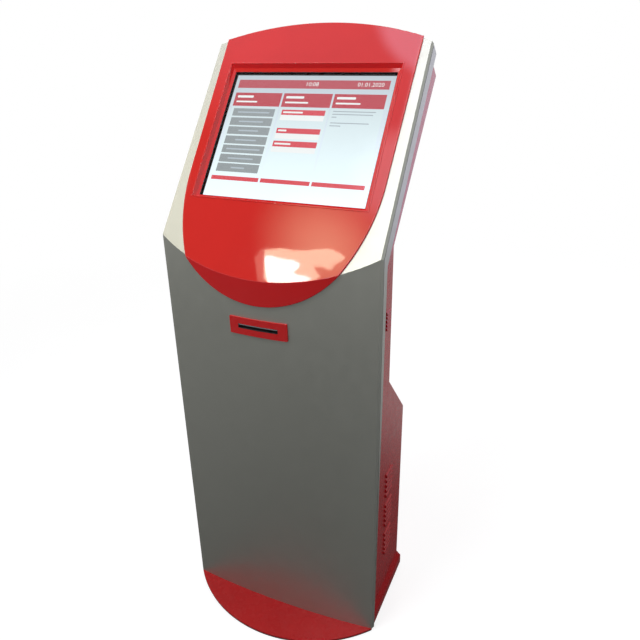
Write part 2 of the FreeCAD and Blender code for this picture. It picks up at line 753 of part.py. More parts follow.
def shield_outline():
    """The shield seen square to the head face, carried on a little below the fold."""
    fold_s = fold_along(SHIELD_HALF_FOLD)
    narrowing = SHIELD_HALF_WAIST - SHIELD_HALF_FOLD
    run = SHIELD_TANGENT - fold_s
    radius = (narrowing ** 2 + run ** 2) / (2 * narrowing)

    def curve(s):
        x = SHIELD_HALF_WAIST - radius + math.sqrt(radius ** 2 - (s - SHIELD_TANGENT) ** 2)
        return Vector(x, s, 0)

    end = fold_s - 2 * SHIELD_THICK
    foot = fold_along(0) - 4 * SHIELD_THICK
    crown = ARCH_RADIUS + SHIELD_OVERHANG
    centre = HEAD_PEAK - ARCH_RADIUS
    top = Vector(SHIELD_HALF_TOP, centre + math.sqrt(crown ** 2 - SHIELD_HALF_TOP ** 2), 0)
    right = [
        Part.makeLine(Vector(curve(end).x, foot, 0), curve(end)),
        Part.Arc(curve(end), curve((end + SHIELD_TANGENT) / 2), curve(SHIELD_TANGENT)).toShape(),
        Part.makeLine(curve(SHIELD_TANGENT), top),
    ]
    left = [mirrored(edge) for edge in right]
    closing = [
        Part.Arc(top, Vector(0, centre + crown, 0), Vector(-top.x, top.y, 0)).toShape(),
        Part.makeLine(Vector(curve(end).x, foot, 0), Vector(-curve(end).x, foot, 0)),
    ]
    return Part.Face(Part.Wire(Part.__sortEdges__(right + left + closing)))


def skin_edges(shape, skin, shortest):
    """Edges of a shape that lie wholly on another body's surface, leaving out the short ones."""
    shell = skin.Shells[0]

    def touches(point):
        return Part.Vertex(point).distToShape(shell)[0] < 0.001

    def is_on(edge):
        first, last = edge.ParameterRange
        return all(touches(edge.valueAt(first + share * (last - first))) for share in (0, 0.37, 1))

    return [edge for edge in shape.Edges if edge.Length > shortest and is_on(edge)]


def shield_blank():
    """A plate on the head face and a lens on the bowed front, rounded along the edge and the fold."""
    outer = front_body(-SHIELD_THICK)
    plate = placed(shield_outline().extrude(Vector(0, 0, SHIELD_THICK)), HEAD).common(outer)
    _, fold_z = fold_point(SHIELD_HALF_FOLD)
    drop = math.sqrt(SHIELD_LENS_RADIUS ** 2 - SHIELD_HALF_FOLD ** 2)
    lens_disc = depth_rod(SHIELD_LENS_RADIUS, 0, fold_z + drop, (-FAR, 0))
    beyond_face = placed(block(both_sides(FAR), both_sides(FAR), (0, FAR)), HEAD)
    lens = outer.common(lens_disc).cut([front_prism(0), beyond_face])
    wings = plate.cut([front_prism(0), lens_disc])
    blank = joined([plate.cut(wings), lens])
    return blank.makeFillet(SHIELD_ROUND, skin_edges(blank, outer, SHIELD_ROUND))


def frame_bead():
    """Raised bead round the moulded frame, in the head's own frame."""
    top = SHIELD_THICK + FRAME_BEAD_RISE
    ring = window_block(frame_margins(1, 0), (0, top)).cut(
        window_block(frame_margins(1, -FRAME_BEAD), (0, top))
    )
    crest = [edge for edge in ring.Edges if all(v.Z > SHIELD_THICK for v in edge.Vertexes)]
    return ring.makeFillet(FRAME_BEAD_ROUND, crest)


def screen_shield():
    """Moulded overlay with a beaded, sunken frame round its window."""
    funnel = loft([
        window_outline(frame_margins(1, -FRAME_BEAD), SHIELD_THICK),
        window_outline(frame_margins(FRAME_LAND, 0), -FRAME_LAND_DEPTH),
        window_outline(frame_margins(0, 0), -FRAME_DEPTH),
    ])
    collar = loft([
        window_outline(frame_margins(FRAME_NECK, FRAME_WALL), 0),
        window_outline(frame_margins(FRAME_LAND, FRAME_WALL), -FRAME_LAND_DEPTH - FRAME_WALL / 2),
        window_outline(frame_margins(0, FRAME_WALL), -FRAME_DEPTH - FRAME_LIP),
    ])
    light = window_block(frame_margins(0, 0), (-HEAD_FLANGE, 0))
    body = joined([shield_blank(), placed(frame_bead(), HEAD), placed(collar, HEAD)])
    return body.cut([placed(funnel, HEAD), placed(light, HEAD)])


def rounded_bar(half_x, half_z, corner, y_span):
    """Bar along Y with rounded corners, centred on the ticket slot."""
    bar = block(both_sides(half_x), y_span, grown((TICKET_HEIGHT, TICKET_HEIGHT), half_z))
    return bar.makeFillet(corner, depth_edges(bar))


def ticket_bezel():
    """Raised plate round the ticket slot, with a throat through the front skin."""
    plate = rounded_bar(BEZEL_WIDTH / 2, BEZEL_HEIGHT / 2, BEZEL_CORNER, (-FAR, 0))
    plate = plate.common(front_prism(-BEZEL_PROUD)).cut(front_prism(0))
    skin = -bow(TICKET_HEIGHT)
    wide = grown(both_sides(SLOT_WIDTH / 2), THROAT_WALL)
    tall = grown(around(TICKET_HEIGHT, SLOT_HEIGHT), THROAT_WALL)
    throat = block(wide, (skin - BEZEL_PROUD, skin + THROAT_REACH), tall)
    throat = throat.common(front_prism(-BEZEL_PROUD / 2))
    slot = block(both_sides(SLOT_WIDTH / 2), (-FAR, FAR), around(TICKET_HEIGHT, SLOT_HEIGHT))
    return joined([plate, throat]).cut(slot)


# ---- Display, in the head's own frame ----------------------------------------
def even(margin):
    return [margin] * 3


def screen_gasket():
    """Foam ring between the shield's rim and the glass."""
    depth = (GLASS_TOP, GLASS_TOP + GASKET)
    ring = window_block(even(GASKET_WIDTH), depth).cut(window_block(even(0), depth))
    return placed(ring, HEAD)


def touch_glass():
    return placed(window_block(even(GLASS_BORDER), (DISPLAY_TOP, GLASS_TOP)), HEAD)


def display_panel():
    """Flat panel whose picture area lies a little below its metal frame."""
    panel = window_block(even(DISPLAY_BORDER), (DISPLAY_BACK, DISPLAY_TOP))
    picture = window_block(even(0), (DISPLAY_TOP - DISPLAY_RECESS, DISPLAY_TOP))
    return placed(panel.cut(picture), HEAD)


def screen_brackets():
    """Two channels across the head that hold the display up against its glass."""
    wide = both_sides(CABINET_INNER)
    deep = (DISPLAY_BACK - BRACKET_DEPTH, DISPLAY_BACK)
    channels = []
    for share in BRACKET_PLACES:
        span = around(WINDOW_SPAN[0] + share * WINDOW_HEIGHT, BRACKET_WIDTH)
        bar = block(wide, span, deep)
        hollow = block(
            grown(wide, -BRACKET_WALL), grown(span, -BRACKET_WALL), (deep[0], deep[1] - BRACKET_WALL)
        )
        channels.append(placed(bar.cut(hollow), HEAD))
    return group(channels)


def display_board():
    """Display driver board on four spacers behind the panel."""
    middle = (WINDOW_SPAN[0] + WINDOW_SPAN[1]) / 2
    wide, tall = around(0, BOARD_SIZE[0]), around(middle, BOARD_SIZE[1])
    top = DISPLAY_BACK - BOARD_STANDOFF
    under = top - BOARD_THICK
    board = block(wide, tall, (under, top))
    posts = [
        Part.makeCylinder(BOARD_POST, BOARD_STANDOFF, Vector(x, s, top))
        for x in grown(wide, -2 * BOARD_POST)
        for s in grown(tall, -2 * BOARD_POST)
    ]
    chips = [
        block(around(x, width), around(middle + up, height), (under - thick, under))
        for x, up, width, height, thick in BOARD_CHIPS
    ]
    return placed(joined([board] + posts + chips), HEAD)


# ---- Rear cabinet ------------------------------------------------------------
def louvre_rows():
    """(y span, top of the first slot, pitch, slot height) of each group on one side."""
    rows = [(BOX_LOUVRE_SPAN, top, LOUVRE_PITCH, LOUVRE_SLOT) for top in BOX_LOUVRE_TOPS]
    rows.append((NECK_LOUVRE_SPAN, NECK_LOUVRE_TOP, NECK_LOUVRE_PITCH, NECK_LOUVRE_SLOT))
    return [
        (span, top - k * pitch, slot)
        for span, top, pitch, slot in rows
        for k in range(LOUVRE_COUNT)
    ]


def louvre_slot(span, top, slot):
    wall = (CABINET_INNER - CABINET_WALL, CABINET_HALF_WIDTH)
    return block(wall, grown(span, -LOUVRE_SKIN), (top - slot, top))


def louvre_hood(span, top, slot):
    """Pressed hood over a slot, open along its lower edge."""
    wall = CABINET_HALF_WIDTH

    def wedge(skin, y_span):
        stand = LOUVRE_HOOD - skin
        peak = top + LOUVRE_HOOD - math.sqrt(2) * skin
        outline = [
            (wall - skin, peak + skin),
            (wall + stand, peak - stand),
            (wall + stand, top - slot),
            (wall - skin, top - slot),
        ]
        face = face_of([Vector(x, y_span[0], z) for x, z in outline])
        return face.extrude(Vector(0, y_span[1] - y_span[0], 0))

    return wedge(0, span).cut(wedge(LOUVRE_SKIN, grown(span, -LOUVRE_SKIN)))


def upper_door_span():
    """Opening in the neck, between the shoulder and the head."""
    head_foot = meet(frame_line(BACK, 0), upright(NECK_REAR))[1]
    return (SHOULDER_TOP + UPPER_DOOR_FOOT, head_foot - UPPER_DOOR_HEAD)


def lower_door_span():
    """Opening in the box, between the power inlet and the shoulder."""
    inlet_top = INLET_Z + INLET_FLANGE[1] / 2
    return (inlet_top + LOWER_DOOR_FOOT, SHOULDER_FOOT - LOWER_DOOR_HEAD)


def door_frame(rear, z_span):
    """Jamb and stop lip round a door opening, behind the cabinet's skin."""
    depth = (rear - JAMB_DEPTH - JAMB_WALL, rear)
    solid = block(grown(both_sides(DOOR_HALF), JAMB_WALL), depth, grown(z_span, JAMB_WALL))
    recess = block(both_sides(DOOR_HALF), (rear - JAMB_DEPTH, rear), z_span)
    passage = block(grown(both_sides(DOOR_HALF), -STOP_LIP), depth, grown(z_span, -STOP_LIP))
    return solid.cut([recess, passage])


def head_panel_screw_places():
    xs = both_sides(HEAD_PANEL_HALF - SCREW_INSET)
    low, high = grown(HEAD_PANEL_SPAN, -SCREW_INSET)
    return [(x, t) for x in xs for t in (low, (low + high) / 2, high)]


def rear_edges(shape):
    """Long edges where the cabinet's sides meet its back."""
    def is_rear(edge):
        on_side = all(abs(abs(v.X) - CABINET_HALF_WIDTH) < 0.01 for v in edge.Vertexes)
        middle = edge.CenterOfMass
        local = HEAD.inverse().multVec(middle)
        behind = middle.y > CABINET_FRONT + 1 and local.z < -CABINET_FACE_GAP - 1
        return on_side and behind and middle.z > BASE_PLATE + 1
    return [edge for edge in shape.Edges if is_rear(edge)]


def rear_cabinet():
    """Folded steel body: sides, back with shoulder, and top, open in front and below."""
    outer = cabinet_space(0, 0)
    outer = outer.makeFillet(CABINET_EDGE, rear_edges(outer))
    shell = outer.cut(cabinet_space(CABINET_WALL, FACE_HALF_WIDTH))
    doors = [(NECK_REAR, upper_door_span()), (BOX_REAR, lower_door_span())]
    frames = [door_frame(rear, span) for rear, span in doors]
    hoods = [louvre_hood(*row) for row in louvre_rows()]
    shell = joined([shell] + frames + hoods + [mirrored(hood) for hood in hoods])
    slots = [louvre_slot(*row) for row in louvre_rows()]
    openings = [
        block(both_sides(DOOR_HALF), (rear - JAMB_DEPTH, rear + CABINET_WALL), span)
        for rear, span in doors
    ]
    hole_sides = both_sides(HEAD_PANEL_HALF - HEAD_PANEL_LAP)
    hole_span = grown(HEAD_PANEL_SPAN, -HEAD_PANEL_LAP)
    panel_hole = block(hole_sides, hole_span, both_sides(2 * CABINET_WALL))
    screw_holes = [
        Part.makeCylinder(SCREW_SHANK, 4 * CABINET_WALL, Vector(x, t, -2 * CABINET_WALL))
        for x, t in head_panel_screw_places()
    ]
    openings += [placed(hole, BACK) for hole in [panel_hole] + screw_holes]
    openings += [inlet_cutout(), switch_cutout()]
    return shell.cut(slots + [mirrored(slot) for slot in slots] + openings)


def head_service_panel():
    """Vented cover over the opening in the head's back."""
    thick = (-HEAD_PANEL_THICK, 0)
    panel = block(both_sides(HEAD_PANEL_HALF), HEAD_PANEL_SPAN, thick)
    low, high = HEAD_PANEL_SPAN
    rows = [around(low + share * (high - low), VENT_LENGTH) for share in VENT_ROWS]
    cuts = [
        block(around(x, VENT_WIDTH), row, thick)
        for row in rows
        for x in spread(VENT_COUNT, VENT_PITCH)
    ]
    cuts += [
        Part.makeCylinder(SCREW_SHANK, HEAD_PANEL_THICK, Vector(x, t, -HEAD_PANEL_THICK))
        for x, t in head_panel_screw_places()
    ]
    return placed(panel.cut(cuts), BACK)


def head_panel_screws():
    screws = []
    for x, t in head_panel_screw_places():
        seat = Vector(x, t, -HEAD_PANEL_THICK)
        head = Part.makeCylinder(SCREW_HEAD, SCREW_HEAD_THICK, seat, Z_AXIS * -1)
        shank = Part.makeCylinder(SCREW_SHANK, SCREW_LENGTH, seat)
        screws.append(placed(joined([head, shank]), BACK))
    return group(screws)


# ---- Service doors -----------------------------------------------------------
def door_panel(rear, z_span):
    """Pan-shaped door, flush with the cabinet's back, with a hole for its lock."""
    wide = grown(both_sides(DOOR_HALF), -DOOR_GAP)
    tall = grown(z_span, -DOOR_GAP)
    deep = rear - JAMB_DEPTH + STOP_GAP
    pan = block(wide, (deep, rear), tall)
    hollow = block(grown(wide, -DOOR_SKIN), (deep, rear - DOOR_SKIN), grown(tall, -DOOR_SKIN))
    lock_hole = depth_rod(LOCK_BARREL, LOCK_X, sum(z_span) / 2, (rear - DOOR_SKIN, rear))
    return pan.cut([hollow, lock_hole])


def lower_door():
    port = depth_rod(FAN_BORE, 0, FAN_HEIGHT, (BOX_REAR - DOOR_SKIN, BOX_REAR))
    return door_panel(BOX_REAR, lower_door_span()).cut(port)


def hinge_heights(z_span):
    return (z_span[0] + HINGE_INSET, z_span[1] - HINGE_INSET)


def knuckle_floor(z, index):
    """Lower end of one of a hinge's three knuckles."""
    pitch = KNUCKLE_LENGTH + KNUCKLE_GAP
    return z - KNUCKLE_LENGTH / 2 + (index - 1) * pitch


def hinge_axis(rear):
    return rear + KNUCKLE_RADIUS + HINGE_LIFT


def hinge_leaf(rear, z, indices, direction):
    """One leaf: a plate beside the pin and a rolled knuckle at each given place."""
    axis_y = hinge_axis(rear)
    ends = (knuckle_floor(z, 0), knuckle_floor(z, 2) + KNUCKLE_LENGTH)
    near = KNUCKLE_RADIUS + 2 * HINGE_LIFT

    def strip(inner):
        return tuple(sorted((HINGE_X + direction * inner, HINGE_X + direction * LEAF_WIDTH)))

    thick = (rear, rear + LEAF_THICK)
    pieces = [block(strip(near), thick, ends)]
    for index in indices:
        low = knuckle_floor(z, index)
        span = (low, low + KNUCKLE_LENGTH)
        pieces.append(block(strip(0), thick, span))
        pieces.append(Part.makeCylinder(KNUCKLE_RADIUS, KNUCKLE_LENGTH, Vector(HINGE_X, axis_y, low)))
    foot = Vector(HINGE_X, axis_y, ends[0])
    bore = Part.makeCylinder(PIN_RADIUS + RUNNING_FIT, ends[1] - ends[0], foot)
    return joined(pieces).cut(bore)


def hinge_pin(rear, z):
    low = knuckle_floor(z, 0)
    high = knuckle_floor(z, 2) + KNUCKLE_LENGTH
    foot = Vector(HINGE_X, hinge_axis(rear), low)
    shank = Part.makeCylinder(PIN_RADIUS, high - low, foot)
    head = Part.makeCylinder(PIN_HEAD, PIN_HEAD_THICK, foot + Z_AXIS * (high - low))
    return joined([shank, head])


def lock_body(rear, z):
    """Fixed part of the cam lock: flange, barrel and nut."""
    face = rear + LOCK_FLANGE_THICK
    end = rear - LOCK_BARREL_LENGTH
    nut_seat = rear - DOOR_SKIN
    pieces = [
        depth_rod(LOCK_FLANGE, LOCK_X, z, (rear, face)),
        depth_rod(LOCK_BARREL, LOCK_X, z, (end, rear)),
        depth_rod(LOCK_NUT, LOCK_X, z, (nut_seat - LOCK_NUT_THICK, nut_seat)),
    ]
    return joined(pieces).cut(depth_rod(LOCK_PLUG + RUNNING_FIT, LOCK_X, z, (end, face)))


def cam_front(rear):
    return rear - JAMB_DEPTH - JAMB_WALL - LOCK_CAM_GAP


def lock_plug(rear, z):
    """Turning key plug with its keyway."""
    face = rear + LOCK_FLANGE_THICK
    plug = depth_rod(LOCK_PLUG, LOCK_X, z, (cam_front(rear), face))
    keyway = block(around(LOCK_X, KEYWAY_WIDTH), (face - KEYWAY_DEPTH, face), around(z, KEYWAY_LENGTH))
    return plug.cut(keyway)


def lock_cam(rear, z):
    """Flat cam, hanging down while unlocked."""
    y_span = (cam_front(rear) - LOCK_CAM_THICK, cam_front(rear))
    tip = z - LOCK_CAM_REACH + LOCK_CAM_TIP
    pieces = [
        depth_rod(LOCK_CAM_HUB, LOCK_X, z, y_span),
        depth_rod(LOCK_CAM_TIP, LOCK_X, tip, y_span),
        block(around(LOCK_X, 2 * LOCK_CAM_TIP), y_span, (tip, z)),
    ]
    return joined(pieces)


def door_hardware(name, rear, z_span):
    """All pieces of one door's hinges and lock, by node name."""
    heights = hinge_heights(z_span)
    middle = sum(z_span) / 2
    return {
        name + "_hinge_frame_leaves": group([hinge_leaf(rear, z, (0, 2), -1) for z in heights]),
        name + "_hinge_door_leaves": group([hinge_leaf(rear, z, (1,), 1) for z in heights]),
        name + "_hinge_pins": group([hinge_pin(rear, z) for z in heights]),
        name + "_lock_body": lock_body(rear, middle),
        name + "_lock_plug": lock_plug(rear, middle),
        name + "_lock_cam": lock_cam(rear, middle),
    }


# ---- Fan ---------------------------------------------------------------------
def turned(shape, angle):
    """Turned about the fan's axis."""
    spun = shape.copy()
    spun.rotate(Vector(0, 0, FAN_HEIGHT), Y_AXIS, angle)
    return spun


def fan_frame():
    """Square housing with two mounting faces, a round duct, and a spider that holds the rotor."""
    rear = BOX_REAR - DOOR_SKIN
    front = rear - FAN_DEPTH
    square = block(around(0, FAN_SIZE), (front, rear), around(FAN_HEIGHT, FAN_SIZE))
    square = square.makeFillet(FAN_CORNER, depth_edges(square))
    ring = square.cut(depth_rod(FAN_BORE, 0, FAN_HEIGHT, (front, rear)))
    between = (front + FAN_EAR, rear - FAN_EAR)
    groove = block(around(0, FAN_SIZE), between, around(FAN_HEIGHT, FAN_SIZE))
    drum = depth_rod(FAN_BORE + FAN_WALL, 0, FAN_HEIGHT, between)
    ring = ring.cut(groove.cut(drum))
    spider = (front, front + FAN_SPIDER)
    hub = depth_rod(FAN_HUB, 0, FAN_HEIGHT, spider)
    spoke = block((0, FAN_BORE + FAN_WALL), spider, around(FAN_HEIGHT, FAN_SPIDER))
    spokes = [turned(spoke, k * 360 / FAN_SPOKES) for k in range(FAN_SPOKES)]
    bearing = depth_rod(FAN_SHAFT + RUNNING_FIT, 0, FAN_HEIGHT, spider)
    return joined([ring, hub] + spokes).cut(bearing)


def fan_rotor():
    """Hub with slanted blades, and the short shaft that runs in the frame."""
    bearing = BOX_REAR - DOOR_SKIN - FAN_DEPTH
    front = bearing + FAN_SPIDER + PANEL_CLEARANCE
    rear = BOX_REAR - DOOR_SKIN - FAN_SPIDER
    hub = depth_rod(FAN_HUB, 0, FAN_HEIGHT, (front, rear))
    shaft = depth_rod(FAN_SHAFT, 0, FAN_HEIGHT, (bearing, front))
    middle = (front + rear) / 2
    thick, chord = around(middle, FAN_BLADE_THICK), around(FAN_HEIGHT, FAN_BLADE_CHORD)
    blade = block((FAN_HUB / 2, FAN_BLADE_TIP), thick, chord)
    blade.rotate(Vector(0, middle, FAN_HEIGHT), X_AXIS, 90 - FAN_BLADE_PITCH)
    room = depth_rod(FAN_BLADE_TIP, 0, FAN_HEIGHT, (front, rear))
    blades = [turned(blade.common(room), k * 360 / FAN_BLADES) for k in range(FAN_BLADES)]
    return joined([hub, shaft] + blades)


def fan_guard():
    """Chromed finger guard on the outside of the door."""
    y_span = (BOX_REAR, BOX_REAR + GUARD_WIRE)
    pieces = [depth_rod(GUARD_HUB, 0, FAN_HEIGHT, y_span)]
    for radius in GUARD_RINGS:
        outer = depth_rod(radius + GUARD_WIRE / 2, 0, FAN_HEIGHT, y_span)
        pieces.append(outer.cut(depth_rod(radius - GUARD_WIRE / 2, 0, FAN_HEIGHT, y_span)))
    eye = (FAN_SIZE / 2 - FAN_CORNER) * math.sqrt(2)
    for k in range(GUARD_SPOKES):
        angle = 45 + k * 360 / GUARD_SPOKES
        pieces.append(turned(block((0, eye), y_span, around(FAN_HEIGHT, GUARD_WIRE)), angle))
        pieces.append(turned(depth_rod(GUARD_EYE, eye, FAN_HEIGHT, y_span), angle))
    return joined(pieces)


# ---- Shelves and roll holder -------------------------------------------------
def shelf(height, y_span):
    """Tray with turned-down side flanges, its front corners cut back to clear the bowed front."""
    wide = both_sides(CABINET_INNER)
    foot = height - SHELF_FLANGE
    tray = block(wide, y_span, (foot, height))
    hollow = block(grown(wide, -SHELF_WALL), y_span, (foot, height - SHELF_WALL))
    return tray.cut(hollow).common(front_prism(SHELL_WALL + PANEL_CLEARANCE))


def paper_port(foot, wall):
    """The slot that the paper rises through, in one sheet."""
    return block(both_sides(PAPER_PORT_HALF), PAPER_PORT, (foot, foot + wall))


def printer_shelf():
    port = paper_port(UPPER_SHELF_HEIGHT - SHELF_WALL, SHELF_WALL)
    return shelf(UPPER_SHELF_HEIGHT, UPPER_SHELF_SPAN).cut(port)


def roll_holder():
    """Two arms hanging from the printer shelf, notched for the spindle from behind."""
    top = UPPER_SHELF_HEIGHT - SHELF_WALL
    span = around(ROLL_Y, HOLDER_WIDTH)
    arm = block((HOLDER_ARM, HOLDER_ARM + HOLDER_WALL), span, (ROLL_Z - HOLDER_DROP, top))
    foot = block((HOLDER_ARM, HOLDER_ARM + HOLDER_DROP), span, (top - HOLDER_WALL, top))
    seat = JOURNAL_RADIUS + JOURNAL_CLEAR
    across = (HOLDER_ARM - HOLDER_WALL, HOLDER_ARM + 2 * HOLDER_WALL)
    notch = joined([
        cross_rod(seat, ROLL_Y, ROLL_Z, across),
        block(across, (ROLL_Y, span[1]), grown((ROLL_Z, ROLL_Z), seat)),
    ])
    right = joined([arm, foot]).cut(notch)
    return group([right, mirrored(right)])


def roll_spindle():
    return joined([
        cross_rod(SPINDLE_RADIUS, ROLL_Y, ROLL_Z, both_sides(SPINDLE_HALF)),
        cross_rod(JOURNAL_RADIUS, ROLL_Y, ROLL_Z, both_sides(JOURNAL_HALF)),
    ])


def roll_ring(outer, inner):
    wide = both_sides(ROLL_HALF)
    return cross_rod(outer, ROLL_Y, ROLL_Z, wide).cut(cross_rod(inner, ROLL_Y, ROLL_Z, wide))


# ---- Ticket printer ----------------------------------------------------------
def gear_places():
    """(y, z) of platen gear, idler gear and motor pinion."""
    def step(place, bearing, teeth_a, teeth_b):
        distance = GEAR_MODULE * (teeth_a + teeth_b) / 2 + GEAR_SPREAD
        angle = math.radians(bearing)
        return (place[0] + distance * math.cos(angle), place[1] + distance * math.sin(angle))

    platen = (PLATEN_Y, PLATEN_Z)
    idler = step(platen, IDLER_BEARING, PLATEN_TEETH, IDLER_TEETH)
    pinion = step(idler, PINION_BEARING, IDLER_TEETH, PINION_TEETH)
    return platen, idler, pinion


def gear(place, teeth, phase, bore):
    """Spur gear with involute flanks; phase is the direction of one tooth's middle, in degrees."""
    pressure = math.radians(PRESSURE_ANGLE)
    pitch = GEAR_MODULE * teeth / 2
    base = pitch * math.cos(pressure)
    tip = pitch + TOOTH_RISE * GEAR_MODULE
    root = pitch - TOOTH_FALL * GEAR_MODULE
    half_pitch = math.pi / (2 * teeth) - GEAR_BACKLASH / (2 * pitch)

    def half_angle(radius):
        turn = math.acos(min(1.0, base / radius))
        return half_pitch + (math.tan(pressure) - pressure) - (math.tan(turn) - turn)

    radii = [max(base, root), pitch, tip]
    flank = [(root, half_angle(radii[0]))] + [(r, half_angle(r)) for r in radii if r > root]
    outline = []
    for k in range(teeth):
        middle = math.radians(phase) + 2 * math.pi * k / teeth
        for radius, half in flank:
            outline.append((radius, middle - half))
        for radius, half in reversed(flank):
            outline.append((radius, middle + half))
    y0, z0 = place
    points = [Vector(GEAR_X, y0 + r * math.cos(a), z0 + r * math.sin(a)) for r, a in outline]
    wheel = face_of(points).extrude(Vector(GEAR_WIDTH, 0, 0))
    return wheel.cut(cross_rod(bore, y0, z0, (GEAR_X, GEAR_X + GEAR_WIDTH)))


def gear_phases():
    """Tooth directions that put the three gears in mesh."""
    platen_phase = IDLER_BEARING
    idler_phase = IDLER_BEARING + 180 + 180 / IDLER_TEETH
    offset = (idler_phase - PINION_BEARING) * IDLER_TEETH / PINION_TEETH
    pinion_phase = PINION_BEARING + 180 - offset + 180 / PINION_TEETH
    return platen_phase, idler_phase, pinion_phase


def platen_gear():
    return gear(gear_places()[0], PLATEN_TEETH, gear_phases()[0], SHAFT_RADIUS)


def idler_gear():
    return gear(gear_places()[1], IDLER_TEETH, gear_phases()[1], IDLER_STUD + RUNNING_FIT)


def motor_pinion():
    """Pinion on the motor's shaft."""
    place = gear_places()[2]
    wheel = gear(place, PINION_TEETH, gear_phases()[2], MOTOR_SHAFT)
    shaft = cross_rod(MOTOR_SHAFT, *place, (CHASSIS_HALF - MOTOR_LENGTH / 2, GEAR_X + GEAR_WIDTH))
    return joined([wheel, shaft])


def feed_motor():
    """Can motor inside the gear-side plate, with a pilot boss through it."""
    y, z = gear_places()[2]
    inner = CHASSIS_HALF - CHASSIS_WALL
    can = cross_rod(MOTOR_RADIUS, y, z, (inner - MOTOR_LENGTH, inner))
    boss = cross_rod(MOTOR_BOSS, y, z, (inner, CHASSIS_HALF))
    bore = cross_rod(MOTOR_SHAFT + RUNNING_FIT, y, z, (inner - MOTOR_LENGTH, CHASSIS_HALF))
    return joined([can, boss]).cut(bore)


def platen_shaft():
    ends = (-CHASSIS_HALF - SHAFT_TAIL, CHASSIS_HALF + SHAFT_END)
    return cross_rod(SHAFT_RADIUS, PLATEN_Y, PLATEN_Z, ends)


def platen_roller():
    wide = both_sides(PLATEN_HALF)
    sleeve = cross_rod(PLATEN_RADIUS, PLATEN_Y, PLATEN_Z, wide)
    return sleeve.cut(cross_rod(SHAFT_RADIUS, PLATEN_Y, PLATEN_Z, wide))


def platen_bushes():
    inner, outer = CHASSIS_HALF - CHASSIS_WALL, CHASSIS_HALF
    flange_end = inner - BUSH_FLANGE_THICK
    ring = cross_rod(BUSH_RADIUS, PLATEN_Y, PLATEN_Z, (inner, outer))
    flange = cross_rod(BUSH_FLANGE, PLATEN_Y, PLATEN_Z, (flange_end, inner))
    bore = cross_rod(SHAFT_RADIUS + RUNNING_FIT, PLATEN_Y, PLATEN_Z, (flange_end, outer))
    bush = joined([ring, flange]).cut(bore)
    return group([bush, mirrored(bush)])


def printer_chassis():
    """Folded frame: floor, two side plates, front wall with the ticket mouth, and cutter guide."""
    wide = both_sides(CHASSIS_HALF)
    tall = (CHASSIS_FLOOR, CHASSIS_TOP)
    front, rear = CHASSIS_SPAN
    floor = block(wide, CHASSIS_SPAN, (CHASSIS_FLOOR, CHASSIS_FLOOR + CHASSIS_WALL))
    side = block((CHASSIS_HALF - CHASSIS_WALL, CHASSIS_HALF), CHASSIS_SPAN, tall)
    wall = block(wide, (front, front + CHASSIS_WALL), tall)
    guide_rear = BLADE_FRONT - BLADE_GAP
    guide_foot = TICKET_HEIGHT + MOUTH_HEIGHT
    guide = block(wide, (guide_rear - CUTTER_GUIDE, guide_rear), (guide_foot, CHASSIS_TOP))
    inner = CHASSIS_HALF - CHASSIS_WALL
    idler_stud = cross_rod(IDLER_STUD, *gear_places()[1], (inner, GEAR_X + GEAR_WIDTH + STUD_END))
    lever_end = CHASSIS_HALF + LEVER_STANDOFF + LEVER_THICK + STUD_END
    lever_stud = cross_rod(LEVER_STUD, *LEVER_PIVOT, (-lever_end, -inner))
    body = joined([floor, side, mirrored(side), wall, guide, idler_stud, lever_stud])
    mouth = around(TICKET_HEIGHT, MOUTH_HEIGHT)
    cuts = [
        block(both_sides(SLOT_WIDTH / 2), (front, front + CHASSIS_WALL), mouth),
        paper_port(CHASSIS_FLOOR, CHASSIS_WALL),
        cross_rod(BUSH_RADIUS, PLATEN_Y, PLATEN_Z, wide),
        cross_rod(HEAD_PIVOT_RADIUS, *HEAD_PIVOT, wide),
        cross_rod(MOTOR_BOSS, *gear_places()[2], (inner, CHASSIS_HALF)),
    ]
    return body.cut(cuts)


def head_pivot_rod():
    return cross_rod(HEAD_PIVOT_RADIUS, *HEAD_PIVOT, both_sides(CHASSIS_HALF))


def print_head():
    """Thermal head with its heat sink, on two arms that swing on the pivot rod."""
    base = TICKET_HEIGHT + PRINT_HEAD_GAP
    top = base + PRINT_HEAD_THICK
    front, rear = PRINT_HEAD_SPAN
    wide = both_sides(PRINT_HEAD_HALF)
    bar = block(wide, PRINT_HEAD_SPAN, (base, top))
    pivot_y, pivot_z = HEAD_PIVOT
    outline = [
        (rear - PRINT_HEAD_THICK, base),
        (rear, base),
        (pivot_y, pivot_z - PRINT_HEAD_EYE),
        (pivot_y, pivot_z + PRINT_HEAD_EYE),
        (rear - PRINT_HEAD_THICK, top),
    ]
    arm_span = (PRINT_HEAD_HALF - PRINT_HEAD_ARM, PRINT_HEAD_HALF)
    arm = joined([side_slab(outline, arm_span), cross_rod(PRINT_HEAD_EYE, *HEAD_PIVOT, arm_span)])
    fin_depth = (front, rear - PRINT_HEAD_FIN_END)
    fins = [
        block(around(x, PRINT_HEAD_FIN), fin_depth, (top, top + PRINT_HEAD_FIN_RISE))
        for x in spread(PRINT_HEAD_FINS, PRINT_HEAD_FIN_PITCH)
    ]
    bore = cross_rod(HEAD_PIVOT_RADIUS + RUNNING_FIT, *HEAD_PIVOT, wide)
    return joined([bar, arm, mirrored(arm)] + fins).cut(bore)


def release_lever():
    """Lever on the left side plate that lifts the print head."""
    y, z = LEVER_PIVOT
    outer = -CHASSIS_HALF - LEVER_STANDOFF
    x_span = (outer - LEVER_THICK, outer)
    hub = cross_rod(LEVER_HUB, y, z, x_span)
    arm = block(x_span, around(y, LEVER_WIDTH), (z, z + LEVER_REACH))
    knob = cross_rod(LEVER_KNOB, y, z + LEVER_REACH, (outer - LEVER_KNOB_LENGTH, outer))
    return joined([hub, arm, knob]).cut(cross_rod(LEVER_STUD + RUNNING_FIT, y, z, x_span))


